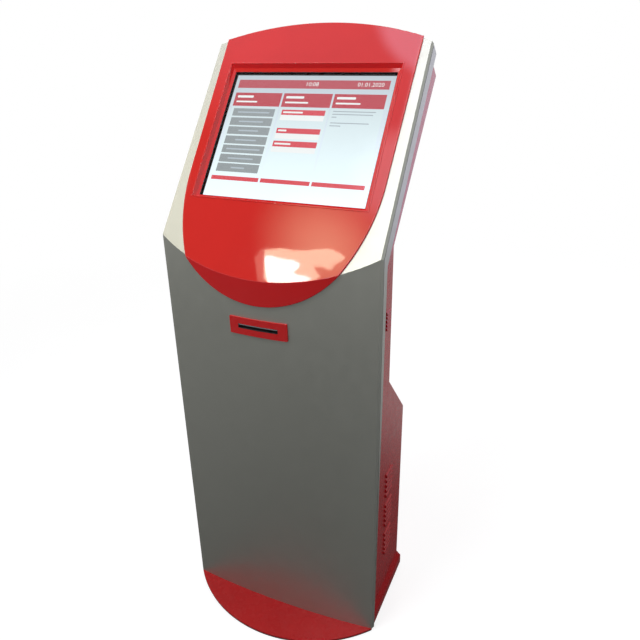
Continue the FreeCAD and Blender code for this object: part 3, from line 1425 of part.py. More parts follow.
def cutter_fixed_blade():
    """Lower blade, standing on a ledge across the frame."""
    top = TICKET_HEIGHT - BLADE_CLEAR
    foot = top - FIXED_BLADE_DROP
    front = BLADE_FRONT + BLADE_THICK + BLADE_GAP
    wide = both_sides(CHASSIS_HALF - CHASSIS_WALL)
    blade = block(both_sides(FIXED_BLADE_HALF), (front, front + BLADE_THICK), (foot, top))
    ledge = block(wide, (front, front + LEDGE_DEPTH), (foot - BLADE_THICK, foot))
    return joined([blade, ledge])


def cutter_moving_blade():
    """Upper blade with a shallow V edge, parked above the ticket."""
    half = MOVING_BLADE_HALF
    low = TICKET_HEIGHT + MOVING_BLADE_LIFT
    high = low + MOVING_BLADE_HEIGHT
    outline = [(-half, low), (0, low + MOVING_BLADE_NOTCH), (half, low), (half, high), (-half, high)]
    face = face_of([Vector(x, BLADE_FRONT, z) for x, z in outline])
    return face.extrude(Vector(0, BLADE_THICK, 0))


def control_board():
    """Printer board across the back of the chassis, with the feed switch's body."""
    face = CHASSIS_SPAN[1]
    rear = face + BOARD_THICK
    middle = sum(CONTROL_SPAN) / 2
    board = block(both_sides(CHASSIS_HALF), (face, rear), CONTROL_SPAN)
    deep = (rear, rear + BUTTON_BODY_DEPTH)
    switch = block(around(BUTTON_X, BUTTON_BODY), deep, around(BUTTON_Z, BUTTON_BODY))
    switch = switch.cut(depth_rod(BUTTON_STEM + RUNNING_FIT, BUTTON_X, BUTTON_Z, deep))
    chips = [
        block(around(x, width), (rear, rear + thick), around(middle + up, height))
        for x, up, width, height, thick in CONTROL_CHIPS
    ]
    return joined([board, switch] + chips)


def feed_button():
    """Push button whose stem slides in the switch body."""
    face = CHASSIS_SPAN[1] + BOARD_THICK + BUTTON_BODY_DEPTH
    cap_low = face + BUTTON_TRAVEL + PANEL_CLEARANCE
    stem = depth_rod(BUTTON_STEM, BUTTON_X, BUTTON_Z, (face - BUTTON_TRAVEL, cap_low))
    cap = depth_rod(BUTTON_RADIUS, BUTTON_X, BUTTON_Z, (cap_low, cap_low + BUTTON_CAP))
    return joined([stem, cap])


# ---- Loudspeakers ------------------------------------------------------------
def speaker():
    """Small loudspeaker against the right side, behind the neck louvres."""
    side = CABINET_INNER
    plate_back = side - SPEAKER_FLANGE
    throat = plate_back - SPEAKER_BASKET
    tall = around(SPEAKER_Z, 2 * SPEAKER_HALF_Z)
    plate = block((plate_back, side), around(SPEAKER_Y, 2 * SPEAKER_HALF_Y), tall)

    def cone(mouth, neck, x):
        return Part.makeCone(mouth, neck, SPEAKER_BASKET, Vector(x, SPEAKER_Y, SPEAKER_Z), X_AXIS * -1)

    basket = cone(SPEAKER_CONE, SPEAKER_MAGNET, plate_back)
    dish = cone(SPEAKER_CONE - SPEAKER_EDGE, SPEAKER_NECK, side)
    magnet = cross_rod(SPEAKER_MAGNET, SPEAKER_Y, SPEAKER_Z, (throat - SPEAKER_MAGNET_LENGTH, throat))
    return joined([plate, basket, magnet]).cut(dish)


# ---- Computer and power ------------------------------------------------------
def computer():
    """Fanless computer: finned case with ports at the back."""
    top = LOWER_SHELF_HEIGHT + COMPUTER_HEIGHT
    case = block(both_sides(COMPUTER_HALF), COMPUTER_SPAN, (LOWER_SHELF_HEIGHT, top))
    pitch = (2 * COMPUTER_HALF - COMPUTER_FIN_THICK) / (COMPUTER_FINS - 1)
    fins = [
        block(around(x, COMPUTER_FIN_THICK), COMPUTER_SPAN, (top, top + COMPUTER_FIN))
        for x in spread(COMPUTER_FINS, pitch)
    ]
    port_depth = (COMPUTER_SPAN[1] - PORT_DEPTH, COMPUTER_SPAN[1])
    port_height = around(top - COMPUTER_HEIGHT / 2, PORT_SIZE[1])
    ports = [
        block(around(x, PORT_SIZE[0]), port_depth, port_height)
        for x in spread(PORT_COUNT, PORT_PITCH)
    ]
    return joined([case] + fins).cut(ports)


def power_supply():
    """Open-terminal supply on the floor plate."""
    x_span = around(SUPPLY_X, 2 * SUPPLY_HALF)
    rear = SUPPLY_SPAN[1]
    sill = BASE_PLATE + SUPPLY_SILL
    top = BASE_PLATE + SUPPLY_HEIGHT
    bay_depth = (rear - TERMINAL_BAY, rear)
    case = block(x_span, SUPPLY_SPAN, (BASE_PLATE, top))
    bay = block(grown(x_span, -SUPPLY_WALL), bay_depth, (sill, top))
    ridges = [
        block(around(SUPPLY_X + x, TERMINAL_RIDGE), bay_depth, (sill, sill + TERMINAL_RISE))
        for x in spread(SUPPLY_TERMINALS, TERMINAL_PITCH)
    ]
    return joined([case.cut(bay)] + ridges)


def rear_block(x, z, size, y_span):
    return block(around(x, size[0]), y_span, around(z, size[1]))


def inlet_cutout():
    size = [length + PANEL_CLEARANCE for length in INLET_BODY]
    return rear_block(INLET_X, INLET_Z, size, (BOX_REAR - 2 * CABINET_WALL, BOX_REAR + CABINET_WALL))


def switch_cutout():
    size = [length + PANEL_CLEARANCE for length in SWITCH_BODY]
    return rear_block(SWITCH_X, INLET_Z, size, (BOX_REAR - 2 * CABINET_WALL, BOX_REAR + CABINET_WALL))


def power_inlet():
    """Appliance inlet with three blades in its socket."""
    rear = BOX_REAR + INLET_PLATE
    flange = rear_block(INLET_X, INLET_Z, INLET_FLANGE, (BOX_REAR, rear))
    body = rear_block(INLET_X, INLET_Z, INLET_BODY, (BOX_REAR - INLET_DEPTH, BOX_REAR))
    floor = rear - SOCKET_DEPTH
    socket = rear_block(INLET_X, INLET_Z, INLET_SOCKET, (floor, rear))
    blades = [
        rear_block(INLET_X + dx, INLET_Z + dz, BLADE_SIZE, (floor, floor + BLADE_LENGTH))
        for dx, dz in BLADE_OFFSETS
    ]
    return joined([joined([flange, body]).cut(socket)] + blades)


def switch_body():
    rear = BOX_REAR + SWITCH_PLATE
    flange = rear_block(SWITCH_X, INLET_Z, SWITCH_FLANGE, (BOX_REAR, rear))
    body = rear_block(SWITCH_X, INLET_Z, SWITCH_BODY, (BOX_REAR - SWITCH_DEPTH, BOX_REAR))
    well = rear_block(SWITCH_X, INLET_Z, SWITCH_WELL, (rear - SWITCH_WELL_DEPTH, rear))
    pivot_y = rear - ROCKER_PIVOT_DEPTH
    pins = cross_rod(ROCKER_PIN, pivot_y, INLET_Z, around(SWITCH_X, SWITCH_BODY[0]))
    return joined([joined([flange, body]).cut(well), pins])


def switch_rocker():
    """Rocker key, resting tilted to its off side."""
    half_x = SWITCH_WELL[0] / 2 - ROCKER_GAP
    half_z = SWITCH_WELL[1] / 2 - ROCKER_GAP
    wide = around(SWITCH_X, 2 * half_x)
    pivot_y = BOX_REAR + SWITCH_PLATE - ROCKER_PIVOT_DEPTH
    face = pivot_y + ROCKER_THICK / 2
    outline = [
        (pivot_y, INLET_Z - half_z),
        (face, INLET_Z - half_z),
        (face - ROCKER_DISH, INLET_Z),
        (face, INLET_Z + half_z),
        (pivot_y, INLET_Z + half_z),
        (pivot_y - ROCKER_THICK / 2, INLET_Z),
    ]
    key = side_slab(outline, wide).cut(cross_rod(ROCKER_PIN + RUNNING_FIT, pivot_y, INLET_Z, wide))
    key.rotate(Vector(SWITCH_X, pivot_y, INLET_Z), X_AXIS, ROCKER_ANGLE)
    return key


# ---- All nodes ---------------------------------------------------------------
def main():
    os.makedirs("parts", exist_ok=True)
    right_speaker = speaker()
    nodes = {
        "base_plate": base_plate(),
        "cable_grommet": cable_grommet(),
        "plinth": plinth(),
        "front_shell": front_shell(),
        "screen_shield": screen_shield(),
        "ticket_bezel": ticket_bezel(),
        "screen_gasket": screen_gasket(),
        "touch_glass": touch_glass(),
        "display_panel": display_panel(),
        "display_board": display_board(),
        "screen_brackets": screen_brackets(),
        "rear_cabinet": rear_cabinet(),
        "head_service_panel": head_service_panel(),
        "head_panel_screws": head_panel_screws(),
        "upper_door": door_panel(NECK_REAR, upper_door_span()),
        "lower_door": lower_door(),
        "fan_frame": fan_frame(),
        "fan_rotor": fan_rotor(),
        "fan_guard": fan_guard(),
        "printer_shelf": printer_shelf(),
        "roll_holder": roll_holder(),
        "roll_spindle": roll_spindle(),
        "paper_roll": roll_ring(ROLL_RADIUS, CORE_RADIUS),
        "roll_core": roll_ring(CORE_RADIUS, SPINDLE_RADIUS),
        "printer_chassis": printer_chassis(),
        "platen_shaft": platen_shaft(),
        "platen_roller": platen_roller(),
        "platen_bushes": platen_bushes(),
        "platen_gear": platen_gear(),
        "idler_gear": idler_gear(),
        "feed_motor": feed_motor(),
        "motor_pinion": motor_pinion(),
        "print_head": print_head(),
        "head_pivot_rod": head_pivot_rod(),
        "release_lever": release_lever(),
        "cutter_fixed_blade": cutter_fixed_blade(),
        "cutter_moving_blade": cutter_moving_blade(),
        "control_board": control_board(),
        "feed_button": feed_button(),
        "speaker_right": right_speaker,
        "speaker_left": mirrored(right_speaker),
        "lower_shelf": shelf(LOWER_SHELF_HEIGHT, LOWER_SHELF_SPAN),
        "computer": computer(),
        "power_supply": power_supply(),
        "power_inlet": power_inlet(),
        "switch_body": switch_body(),
        "switch_rocker": switch_rocker(),
    }
    nodes.update(door_hardware("upper", NECK_REAR, upper_door_span()))
    nodes.update(door_hardware("lower", BOX_REAR, lower_door_span()))
    for name, shape in nodes.items():
        save(name, shape)


main()
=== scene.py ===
import json
import math

import bmesh
import bpy
from mathutils import Matrix, Vector


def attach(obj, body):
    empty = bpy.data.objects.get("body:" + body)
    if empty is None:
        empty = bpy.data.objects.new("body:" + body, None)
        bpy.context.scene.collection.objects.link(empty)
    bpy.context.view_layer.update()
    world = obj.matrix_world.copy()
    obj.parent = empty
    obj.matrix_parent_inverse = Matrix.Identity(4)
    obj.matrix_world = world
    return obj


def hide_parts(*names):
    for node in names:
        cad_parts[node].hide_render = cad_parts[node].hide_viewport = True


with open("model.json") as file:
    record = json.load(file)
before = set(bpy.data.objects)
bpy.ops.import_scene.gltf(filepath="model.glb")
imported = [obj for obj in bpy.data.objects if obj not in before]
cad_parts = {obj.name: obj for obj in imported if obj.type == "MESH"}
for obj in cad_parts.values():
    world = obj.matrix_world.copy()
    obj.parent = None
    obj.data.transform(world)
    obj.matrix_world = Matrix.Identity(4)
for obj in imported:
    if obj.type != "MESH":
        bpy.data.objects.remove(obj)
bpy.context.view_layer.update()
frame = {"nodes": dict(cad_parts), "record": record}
scene = bpy.context.scene
scene.view_settings.view_transform = "Standard"

# The head's own frame: x across, y up along the face, z out of the face.
HEAD_TILT = math.radians(51.7)
WAIST = Vector((0, -0.1, 0.8613))   # fold between the lower front and the head's face
HEAD = Matrix.Translation(WAIST) @ Matrix.Rotation(HEAD_TILT, 4, "X")


# ---- Camera ------------------------------------------------------------------
CAMERA_ANGLES = (-23.96522, -23.85925, -0.96103)    # yaw, pitch and roll in degrees
CAMERA_PLACE = (0.524724, -1.039198, 1.188820)
CAMERA_LENS = 35.0436                               # millimetres on a 36 mm sensor


def make_camera():
    """The photograph's camera, as the perspective fit found it."""
    yaw, pitch, roll = (math.radians(angle) for angle in CAMERA_ANGLES)
    forward = Vector((
        math.sin(yaw) * math.cos(pitch),
        math.cos(yaw) * math.cos(pitch),
        math.sin(pitch),
    ))
    level = Vector((math.cos(yaw), -math.sin(yaw), 0))
    down = forward.cross(level)
    right = math.cos(roll) * level - math.sin(roll) * down
    below = math.sin(roll) * level + math.cos(roll) * down
    place = Matrix((right, -below, -forward)).transposed().to_4x4()
    place.translation = Vector(CAMERA_PLACE)
    data = bpy.data.cameras.new("photo_camera")
    data.lens = CAMERA_LENS
    data.sensor_width = 36
    data.clip_start, data.clip_end = 0.01, 100
    camera = bpy.data.objects.new("photo_camera", data)
    camera.matrix_world = place
    scene.collection.objects.link(camera)
    scene.camera = camera


# ---- Shader helpers ----------------------------------------------------------
# Sockets of a mix node that is set to colours. Its other sockets have the same names.
MIX_SHARE, MIX_FIRST, MIX_SECOND, MIX_RESULT = 0, 6, 7, 2
NOISE_ROUGHNESS = 0.55


class Shader:
    """One node material: short calls for the nodes that the finishes below share."""

    def __init__(self, name):
        self.material = bpy.data.materials.new(name)
        self.material.use_nodes = True
        self.tree = self.material.node_tree
        self.tree.nodes.clear()
        self.out = self.node("ShaderNodeOutputMaterial")
        self.place = self.node("ShaderNodeTexCoord").outputs["Object"]

    def node(self, kind, **settings):
        made = self.tree.nodes.new(kind)
        for key, value in settings.items():
            setattr(made, key, value)
        return made

    def link(self, source, target):
        self.tree.links.new(source, target)

    def feed(self, socket, value):
        """Set a socket from a number, a colour or another node's output."""
        if isinstance(value, bpy.types.NodeSocket):
            self.link(value, socket)
        elif isinstance(value, (tuple, list)) and len(value) == 3 and socket.type == "RGBA":
            socket.default_value = (*value, 1)
        else:
            socket.default_value = value

    def stretched(self, scale):
        """Coordinates scaled differently along the three axes."""
        mapping = self.node("ShaderNodeMapping")
        self.link(self.place, mapping.inputs["Vector"])
        mapping.inputs["Scale"].default_value = scale
        return mapping.outputs["Vector"]

    def axes(self):
        """The object coordinates X, Y and Z, each on its own."""
        split = self.node("ShaderNodeSeparateXYZ")
        self.link(self.place, split.inputs[0])
        return split.outputs

    def noise(self, scale, detail=3.0, vector=None):
        made = self.node("ShaderNodeTexNoise")
        self.link(vector or self.place, made.inputs["Vector"])
        made.inputs["Scale"].default_value = scale
        made.inputs["Detail"].default_value = detail
        made.inputs["Roughness"].default_value = NOISE_ROUGHNESS
        return made.outputs["Fac"]

    def cells(self, scale, output="Color"):
        made = self.node("ShaderNodeTexVoronoi")
        self.link(self.place, made.inputs["Vector"])
        made.inputs["Scale"].default_value = scale
        return made.outputs[output]

    def ramp(self, value, low, high, to_low=0.0, to_high=1.0):
        """Straight slope: to_low up to low, to_high from high on."""
        made = self.node("ShaderNodeMapRange")
        self.feed(made.inputs["Value"], value)
        made.inputs["From Min"].default_value = low
        made.inputs["From Max"].default_value = high
        made.inputs["To Min"].default_value = to_low
        made.inputs["To Max"].default_value = to_high
        return made.outputs["Result"]

    def smooth(self, value, low, high):
        """0 up to low, 1 from high on, with a soft step between them."""
        made = self.node("ShaderNodeMapRange", interpolation_type="SMOOTHSTEP")
        self.feed(made.inputs["Value"], value)
        made.inputs["From Min"].default_value = low
        made.inputs["From Max"].default_value = high
        return made.outputs["Result"]

    def maths(self, operation, first, second=0.0):
        made = self.node("ShaderNodeMath", operation=operation)
        self.feed(made.inputs[0], first)
        self.feed(made.inputs[1], second)
        return made.outputs[0]

    def mix(self, share, first, second, blend="MIX"):
        made = self.node("ShaderNodeMix", data_type="RGBA", blend_type=blend)
        self.feed(made.inputs[MIX_SHARE], share)
        self.feed(made.inputs[MIX_FIRST], first)
        self.feed(made.inputs[MIX_SECOND], second)
        return made.outputs[MIX_RESULT]

    def bump(self, height, distance, after=None):
        made = self.node("ShaderNodeBump")
        made.inputs["Distance"].default_value = distance
        made.inputs["Strength"].default_value = 1.0
        self.link(height, made.inputs["Height"])
        if after:
            self.link(after, made.inputs["Normal"])
        return made.outputs["Normal"]

    def finish(self, colour, rough, normal=None, **uniform):
        """Principled surface; uniform values go straight onto the shader's own sockets."""
        shader = self.node("ShaderNodeBsdfPrincipled")
        self.feed(shader.inputs["Base Color"], colour)
        self.feed(shader.inputs["Roughness"], rough)
        if normal:
            self.link(normal, shader.inputs["Normal"])
        for key, value in uniform.items():
            self.feed(shader.inputs[key.replace("_", " ")], value)
        self.link(shader.outputs["BSDF"], self.out.inputs["Surface"])
        return self.material

    def emission(self, colour=(1, 1, 1), strength=1.0):
        glow = self.node("ShaderNodeEmission")
        self.feed(glow.inputs["Color"], colour)
        self.feed(glow.inputs["Strength"], strength)
        return glow.outputs[0]

    def glow(self, colour, strength=1.0):
        """Surface that only sends out light."""
        self.link(self.emission(colour, strength), self.out.inputs["Surface"])
        return self.material


# ---- Finishes ----------------------------------------------------------------
def gloss_red_plastic():
    s = Shader("gloss_red_plastic")
    base = (0.66, 0.010, 0.012)
    colour = s.mix(s.ramp(s.noise(5.0), 0.35, 0.7), base, (0.60, 0.008, 0.010))
    rough = s.ramp(s.noise(40.0, 4), 0.3, 0.75, 0.02, 0.05)
    waves = s.bump(s.noise(9.0, 1), 0.00018)
    ripple = s.bump(s.noise(90.0, 2), 0.00001, waves)
    return s.finish(colour, rough, ripple, Coat_Weight=0.12, Coat_Roughness=0.03)


def red_powder_coat():
    s = Shader("red_powder_coat")
    colour = s.mix(s.ramp(s.noise(6.0), 0.3, 0.7), (0.47, 0.009, 0.012), (0.42, 0.007, 0.010))
    rough = s.ramp(s.noise(60.0, 4), 0.3, 0.75, 0.22, 0.34)
    waves = s.bump(s.noise(14.0, 1), 0.00012)
    peel = s.bump(s.noise(300.0, 2), 0.0000012, waves)
    return s.finish(
        colour, rough, peel, Specular_IOR_Level=0.25, Coat_Weight=0.1, Coat_Roughness=0.08)


def silver_metallic():
    s = Shader("silver_metallic")
    flakes = s.cells(3400.0, output="Distance")
    base = s.mix(s.ramp(flakes, 0.0, 0.8), (0.360, 0.368, 0.330), (0.332, 0.340, 0.304))
    colour = s.mix(s.ramp(s.noise(4.0), 0.3, 0.7, 0.0, 0.35), base, (0.338, 0.346, 0.310))
    rough = s.ramp(s.noise(50.0, 4), 0.3, 0.75, 0.40, 0.46)
    waves = s.bump(s.noise(7.0, 1), 0.0002)
    return s.finish(colour, rough, waves, Metallic=0.72, Coat_Weight=0.12, Coat_Roughness=0.2)


def dark_powder_coat():
    s = Shader("dark_powder_coat")
    colour = s.mix(s.noise(30.0), (0.075, 0.075, 0.082), (0.055, 0.055, 0.060))
    rough = s.ramp(s.noise(80.0), 0.3, 0.7, 0.45, 0.6)
    return s.finish(colour, rough, s.bump(s.noise(700.0, 2), 0.00003))


def zinc_steel():
    s = Shader("zinc_steel")
    spangle = s.cells(70.0)
    colour = s.mix(s.ramp(spangle, 0.2, 0.9), (0.50, 0.51, 0.53), (0.62, 0.63, 0.65))
    rough = s.ramp(spangle, 0.0, 1.0, 0.32, 0.48)
    return s.finish(colour, rough, s.bump(s.noise(900.0, 2), 0.000008), Metallic=0.9)


def bright_chrome():
    s = Shader("bright_chrome")
    colour = s.mix(s.noise(80.0), (0.80, 0.81, 0.83), (0.70, 0.71, 0.74))
    rough = s.ramp(s.noise(300.0, 4), 0.3, 0.8, 0.06, 0.16)
    return s.finish(colour, rough, s.bump(s.noise(1200.0), 0.000002), Metallic=1.0)


def aluminium():
    s = Shader("aluminium")
    lines = s.noise(1.0, 2, vector=s.stretched((18, 1600, 1600)))
    colour = s.mix(lines, (0.60, 0.61, 0.63), (0.72, 0.73, 0.75))
    rough = s.ramp(lines, 0.3, 0.7, 0.28, 0.42)
    return s.finish(colour, rough, s.bump(lines, 0.000006), Metallic=0.95)


def black_anodised():
    s = Shader("black_anodised")
    lines = s.noise(1.0, 2, vector=s.stretched((1400, 20, 1400)))
    colour = s.mix(lines, (0.030, 0.030, 0.034), (0.055, 0.055, 0.060))
    rough = s.ramp(lines, 0.3, 0.7, 0.35, 0.5)
    return s.finish(colour, rough, s.bump(lines, 0.000008), Metallic=0.5)


def brass():
    s = Shader("brass")
    colour = s.mix(s.noise(200.0), (0.72, 0.50, 0.20), (0.60, 0.40, 0.16))
    return s.finish(colour, s.ramp(s.noise(400.0), 0.3, 0.7, 0.22, 0.36), Metallic=1.0)


def grained_plastic(name, light, dark):
    s = Shader(name)
    colour = s.mix(s.noise(45.0), light, dark)
    rough = s.ramp(s.noise(120.0), 0.3, 0.7, 0.42, 0.55)
    return s.finish(colour, rough, s.bump(s.noise(1100.0, 2), 0.00002))


def rubber():
    s = Shader("black_rubber")
    colour = s.mix(s.noise(60.0), (0.022, 0.022, 0.024), (0.036, 0.035, 0.034))
    rough = s.ramp(s.noise(200.0), 0.3, 0.7, 0.7, 0.85)
    return s.finish(colour, rough, s.bump(s.noise(900.0), 0.00003))


def circuit_board():
    """Solder mask over copper tracks that run two ways, patch by patch."""
    s = Shader("circuit_board")
    axes = s.axes()
    tracks_per_metre, track_share = 620.0, 0.42

    def stripes(axis):
        turn = s.maths("FRACT", s.maths("MULTIPLY", axes[axis], tracks_per_metre))
        return s.maths("LESS_THAN", turn, track_share)

    area = s.node("ShaderNodeSeparateColor")
    s.link(s.cells(110.0), area.inputs[0])
    upright = s.maths("MULTIPLY", stripes("X"), s.maths("GREATER_THAN", area.outputs[0], 0.5))
    level = s.maths("MULTIPLY", stripes("Z"), s.maths("LESS_THAN", area.outputs[0], 0.35))
    track = s.maths("MAXIMUM", upright, level)
    colour = s.mix(track, (0.008, 0.085, 0.030), (0.020, 0.160, 0.060))
    rough = s.ramp(s.noise(90.0), 0.3, 0.7, 0.28, 0.38)
    return s.finish(colour, rough, s.bump(track, 0.00003), Coat_Weight=0.3)


PAPER_ROLL_AXIS = (-0.07, 0.61801)  # depth and height


def wound(name, light, dark, pitch, rough):
    """Layers wound round the paper roll's axis, seen as rings on the end faces."""
    s = Shader(name)
    axes = s.axes()
    dy = s.maths("SUBTRACT", axes["Y"], PAPER_ROLL_AXIS[0])
    dz = s.maths("SUBTRACT", axes["Z"], PAPER_ROLL_AXIS[1])
    square = s.maths("ADD", s.maths("MULTIPLY", dy, dy), s.maths("MULTIPLY", dz, dz))
    ring = s.maths("SINE", s.maths("MULTIPLY", s.maths("SQRT", square), 2 * math.pi / pitch))
    share = s.ramp(s.maths("ADD", ring, s.noise(900.0)), -1.0, 2.0)
    colour = s.mix(share, dark, light)
    return s.finish(colour, rough, s.bump(share, 0.00004))


def clear_glass():
    s = Shader("clear_glass")
    smear = s.ramp(s.noise(14.0, 4), 0.45, 0.8, 0.0, 0.05)
    return s.finish((0.93, 0.96, 0.96), smear, Transmission_Weight=1.0, IOR=1.45)


def dark_screen():
    s = Shader("dark_screen")
    colour = s.mix(s.noise(60.0), (0.010, 0.010, 0.012), (0.016, 0.016, 0.018))
    return s.finish(colour, s.ramp(s.noise(90.0), 0.3, 0.7, 0.2, 0.3))


def speaker_cone():
    s = Shader("speaker_cone")
    colour = s.mix(s.noise(400.0), (0.030, 0.030, 0.032), (0.050, 0.048, 0.046))
    return s.finish(colour, 0.75, s.bump(s.noise(1300.0), 0.00005))


def lit(name, colour, top_level, foot_level=1.0):
    """A lit part of the picture, with its level at the screen's top and at its foot."""
    s = Shader(name)
    screen_foot, screen_top = 0.93, 1.15
    level = s.ramp(s.axes()["Z"], screen_foot, screen_top, foot_level, top_level)
    speck = s.ramp(s.noise(30.0), 0.3, 0.7, 0.985, 1.0)
    return s.glow(colour, s.maths("MULTIPLY", level, speck))


FINISHES = {
    "silver_paint": silver_metallic(),
    "red_paint": red_powder_coat(),
    "red_plastic": gloss_red_plastic(),
    "dark_paint": dark_powder_coat(),
    "zinc_steel": zinc_steel(),
    "bright_chrome": bright_chrome(),
    "aluminium": aluminium(),
    "black_anodised": black_anodised(),
    "brass": brass(),
    "black_plastic": grained_plastic("black_plastic", (0.020, 0.020, 0.022), (0.030, 0.030, 0.032)),
    "white_plastic": grained_plastic("white_plastic", (0.72, 0.72, 0.69), (0.66, 0.66, 0.62)),
    "green_plastic": grained_plastic("green_plastic", (0.03, 0.30, 0.07), (0.02, 0.24, 0.05)),
    "green_board": circuit_board(),
    "black_rubber": rubber(),
    "clear_glass": clear_glass(),
    "screen": dark_screen(),
    "paper": wound("paper_roll_stock", (0.86, 0.86, 0.83), (0.70, 0.70, 0.67), 0.0011, 0.8),
    "cardboard": wound("cardboard_core", (0.42, 0.30, 0.18), (0.32, 0.22, 0.13), 0.0009, 0.9),
    "speaker_black": speaker_cone(),
}


def dress_cad_nodes():
    for row in frame["record"]["subparts"]:
        node = frame["nodes"][row["node"]]
        node.data.materials.clear()
        node.data.materials.append(FINISHES[row["material_slot"]])


# ---- Building helpers --------------------------------------------------------
def join_rings(builder, near, far):
    """Wall of faces between two rings of as many points."""
    for k in range(len(near)):
        after = (k + 1) % len(near)
        builder.faces.new((near[k], near[after], far[after], far[k]))


def face_outward(builder):
    bmesh.ops.recalc_face_normals(builder, faces=builder.faces[:])


def mesh_from(builder, name):
    """Mesh of what the builder holds. The builder is freed."""
    mesh = bpy.data.meshes.new(name)
    builder.to_mesh(mesh)
    builder.free()
    return mesh


def mesh_piece(name, mesh, body, materials):
    piece = bpy.data.objects.new(name, mesh)
    scene.collection.objects.link(piece)
    for material in materials:
        mesh.materials.append(material)
    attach(piece, body)
    return piece


# ---- Picture on the display --------------------------------------------------
PICTURE_TOP = -0.0140       # picture area below the head's face
SHEET = 0.00004             # each patch above the one under it
SHEET_SHARE = 0.8           # of that step is the sheet's own thickness

# The picture's materials, numbered as picture_materials() lists them.
GROUND, TITLE, HEADER, BAR, PANEL, BUTTON, FIELD, LINE, TEXT = range(9)


def picture_materials():
    return [
        lit("picture_ground", (0.87, 0.97, 1.06), 0.60, 1.22),
        lit("picture_title", (0.58, 0.085, 0.115), 0.92),
        lit("picture_header", (0.62, 0.060, 0.088), 0.86),
        lit("picture_bar", (0.80, 0.070, 0.100), 0.92),
        lit("picture_panel", (0.86, 0.98, 1.02), 0.66, 1.22),
        lit("picture_button", (0.34, 0.37, 0.39), 0.92),
        lit("picture_field", (1.0, 1.0, 1.0), 0.96),
        lit("picture_line", (0.52, 0.59, 0.65), 0.90),
        lit("picture_text", (0.42, 0.47, 0.52), 0.94),
    ]


def mark_faces(builder, already, material):
    """Give the material to each face that came after the first so many."""
    builder.faces.ensure_lookup_table()
    for face in builder.faces[already:]:
        face.material_index = material


def patch(builder, x_span, y_span, layer, material, corner=0.0):
    """Rounded rectangle on the picture in millimetres, as a thin closed sheet."""
    (x0, x1), (y0, y1) = x_span, y_span
    steps = range(4) if corner else range(1)
    points = []
    for corner_x, corner_y, start in ((x1, y1, 0), (x0, y1, 90), (x0, y0, 180), (x1, y0, 270)):
        inner_x = corner_x - math.copysign(corner, corner_x - (x0 + x1) / 2)
        inner_y = corner_y - math.copysign(corner, corner_y - (y0 + y1) / 2)
        for k in steps:
            angle = math.radians(start + 30 * k)
            points.append((inner_x + corner * math.cos(angle), inner_y + corner * math.sin(angle)))
    top, foot = (
        [builder.verts.new(HEAD @ Vector((x / 1000, y / 1000, z))) for x, y in points]
        for z in (PICTURE_TOP + SHEET * layer, PICTURE_TOP + SHEET * (layer - SHEET_SHARE))
    )
    already = len(builder.faces)
    builder.faces.new(top)
    builder.faces.new(foot[::-1])
    join_rings(builder, foot, top)
    mark_faces(builder, already, material)


def around(middle, wide):
    """Span of this width about its middle."""
    return (middle - wide / 2, middle + wide / 2)


def picture_patches():
    """(x span, span up the face, layer, material, corner) in millimetres."""
    columns = ((-159.0, -55.8), (-51.7, 50.0), (54.0, 156.3))
    button_rows = ((266.3, 283.0), (245.7, 262.8), (226.1, 242.7), (205.4, 222.5),
                   (185.8, 202.4), (165.6, 182.7), (145.5, 163.1))
    button_line_widths = (70, 54, 44, 46, 74, 56, 30)
    text_line_widths = (84, 80, 10, 0, 76, 22)      # 0 leaves a gap between paragraphs
    patches = [
        ((-166, 166), (93.6, 357.4), 1, GROUND, 0),
        ((-159.0, 157.3), (328.8, 347.4), 2, TITLE, 0),
    ]
    patches += [(column, (288.5, 318.2), 2, HEADER, 0) for column in columns]
    patches += [(column, (127.8, 136.4), 2, BAR, 0) for column in columns]
    patches += [(column, (140.0, 287.0), 2, PANEL, 0) for column in columns]
    patches += [((-153.5, -61.8), row, 3, BUTTON, 0.6) for row in button_rows]
    for low, high in ((271.4, 282.5), (232.1, 243.2), (203.9, 216.0)):
        patches.append(((-46.7, 44.0), (low, high), 3, BAR, 0))
        patches.append(((-46.7, 44.0), (low - 11.5, low - 0.8), 3, FIELD, 0))
    patches += [(around(-107.6, width), around(sum(row) / 2, 3.0), 4, LINE, 1.4)
                for row, width in zip(button_rows, button_line_widths)]
    for left, wide in ((-153.0, 36), (-45.5, 38), (60.0, 38)):
        patches.append(((left, left + wide), (307.0, 312.0), 4, FIELD, 1.6))
        patches.append(((left, left + wide * 1.3), (296.5, 300.0), 4, FIELD, 1.4))
    for height, wide in ((277, 42), (238, 18), (210, 34)):
        patches.append(((-43.5, -43.5 + wide), around(height, 3.6), 4, FIELD, 1.4))
    for k, wide in enumerate(text_line_widths):
        if wide:
            patches.append(((59.0, 59.0 + wide), around(281.5 - 6.0 * k, 1.8), 4, TEXT, 0.8))
    return patches


def numerals(builder, text, size, x, y, layer, material):
    """Plain figures on the picture, as thin closed sheets; size and place in millimetres."""
    half_sheet = SHEET * SHEET_SHARE / 2
    curve = bpy.data.curves.new("figures", "FONT")
    curve.body = text
    curve.size = size / 1000
    curve.align_x, curve.align_y = "CENTER", "CENTER"
    curve.extrude = half_sheet
    curve.resolution_u = 3
    maker = bpy.data.objects.new("figures", curve)
    scene.collection.objects.link(maker)
    bpy.context.view_layer.update()
    depsgraph = bpy.context.evaluated_depsgraph_get()
    mesh = bpy.data.meshes.new_from_object(maker.evaluated_get(depsgraph))
    bpy.data.objects.remove(maker)
    bpy.data.curves.remove(curve)
    z = PICTURE_TOP + SHEET * layer - half_sheet
    mesh.transform(HEAD @ Matrix.Translation((x / 1000, y / 1000, z)))
    already = len(builder.faces)
    builder.from_mesh(mesh)
    mark_faces(builder, already, material)
    bpy.data.meshes.remove(mesh)


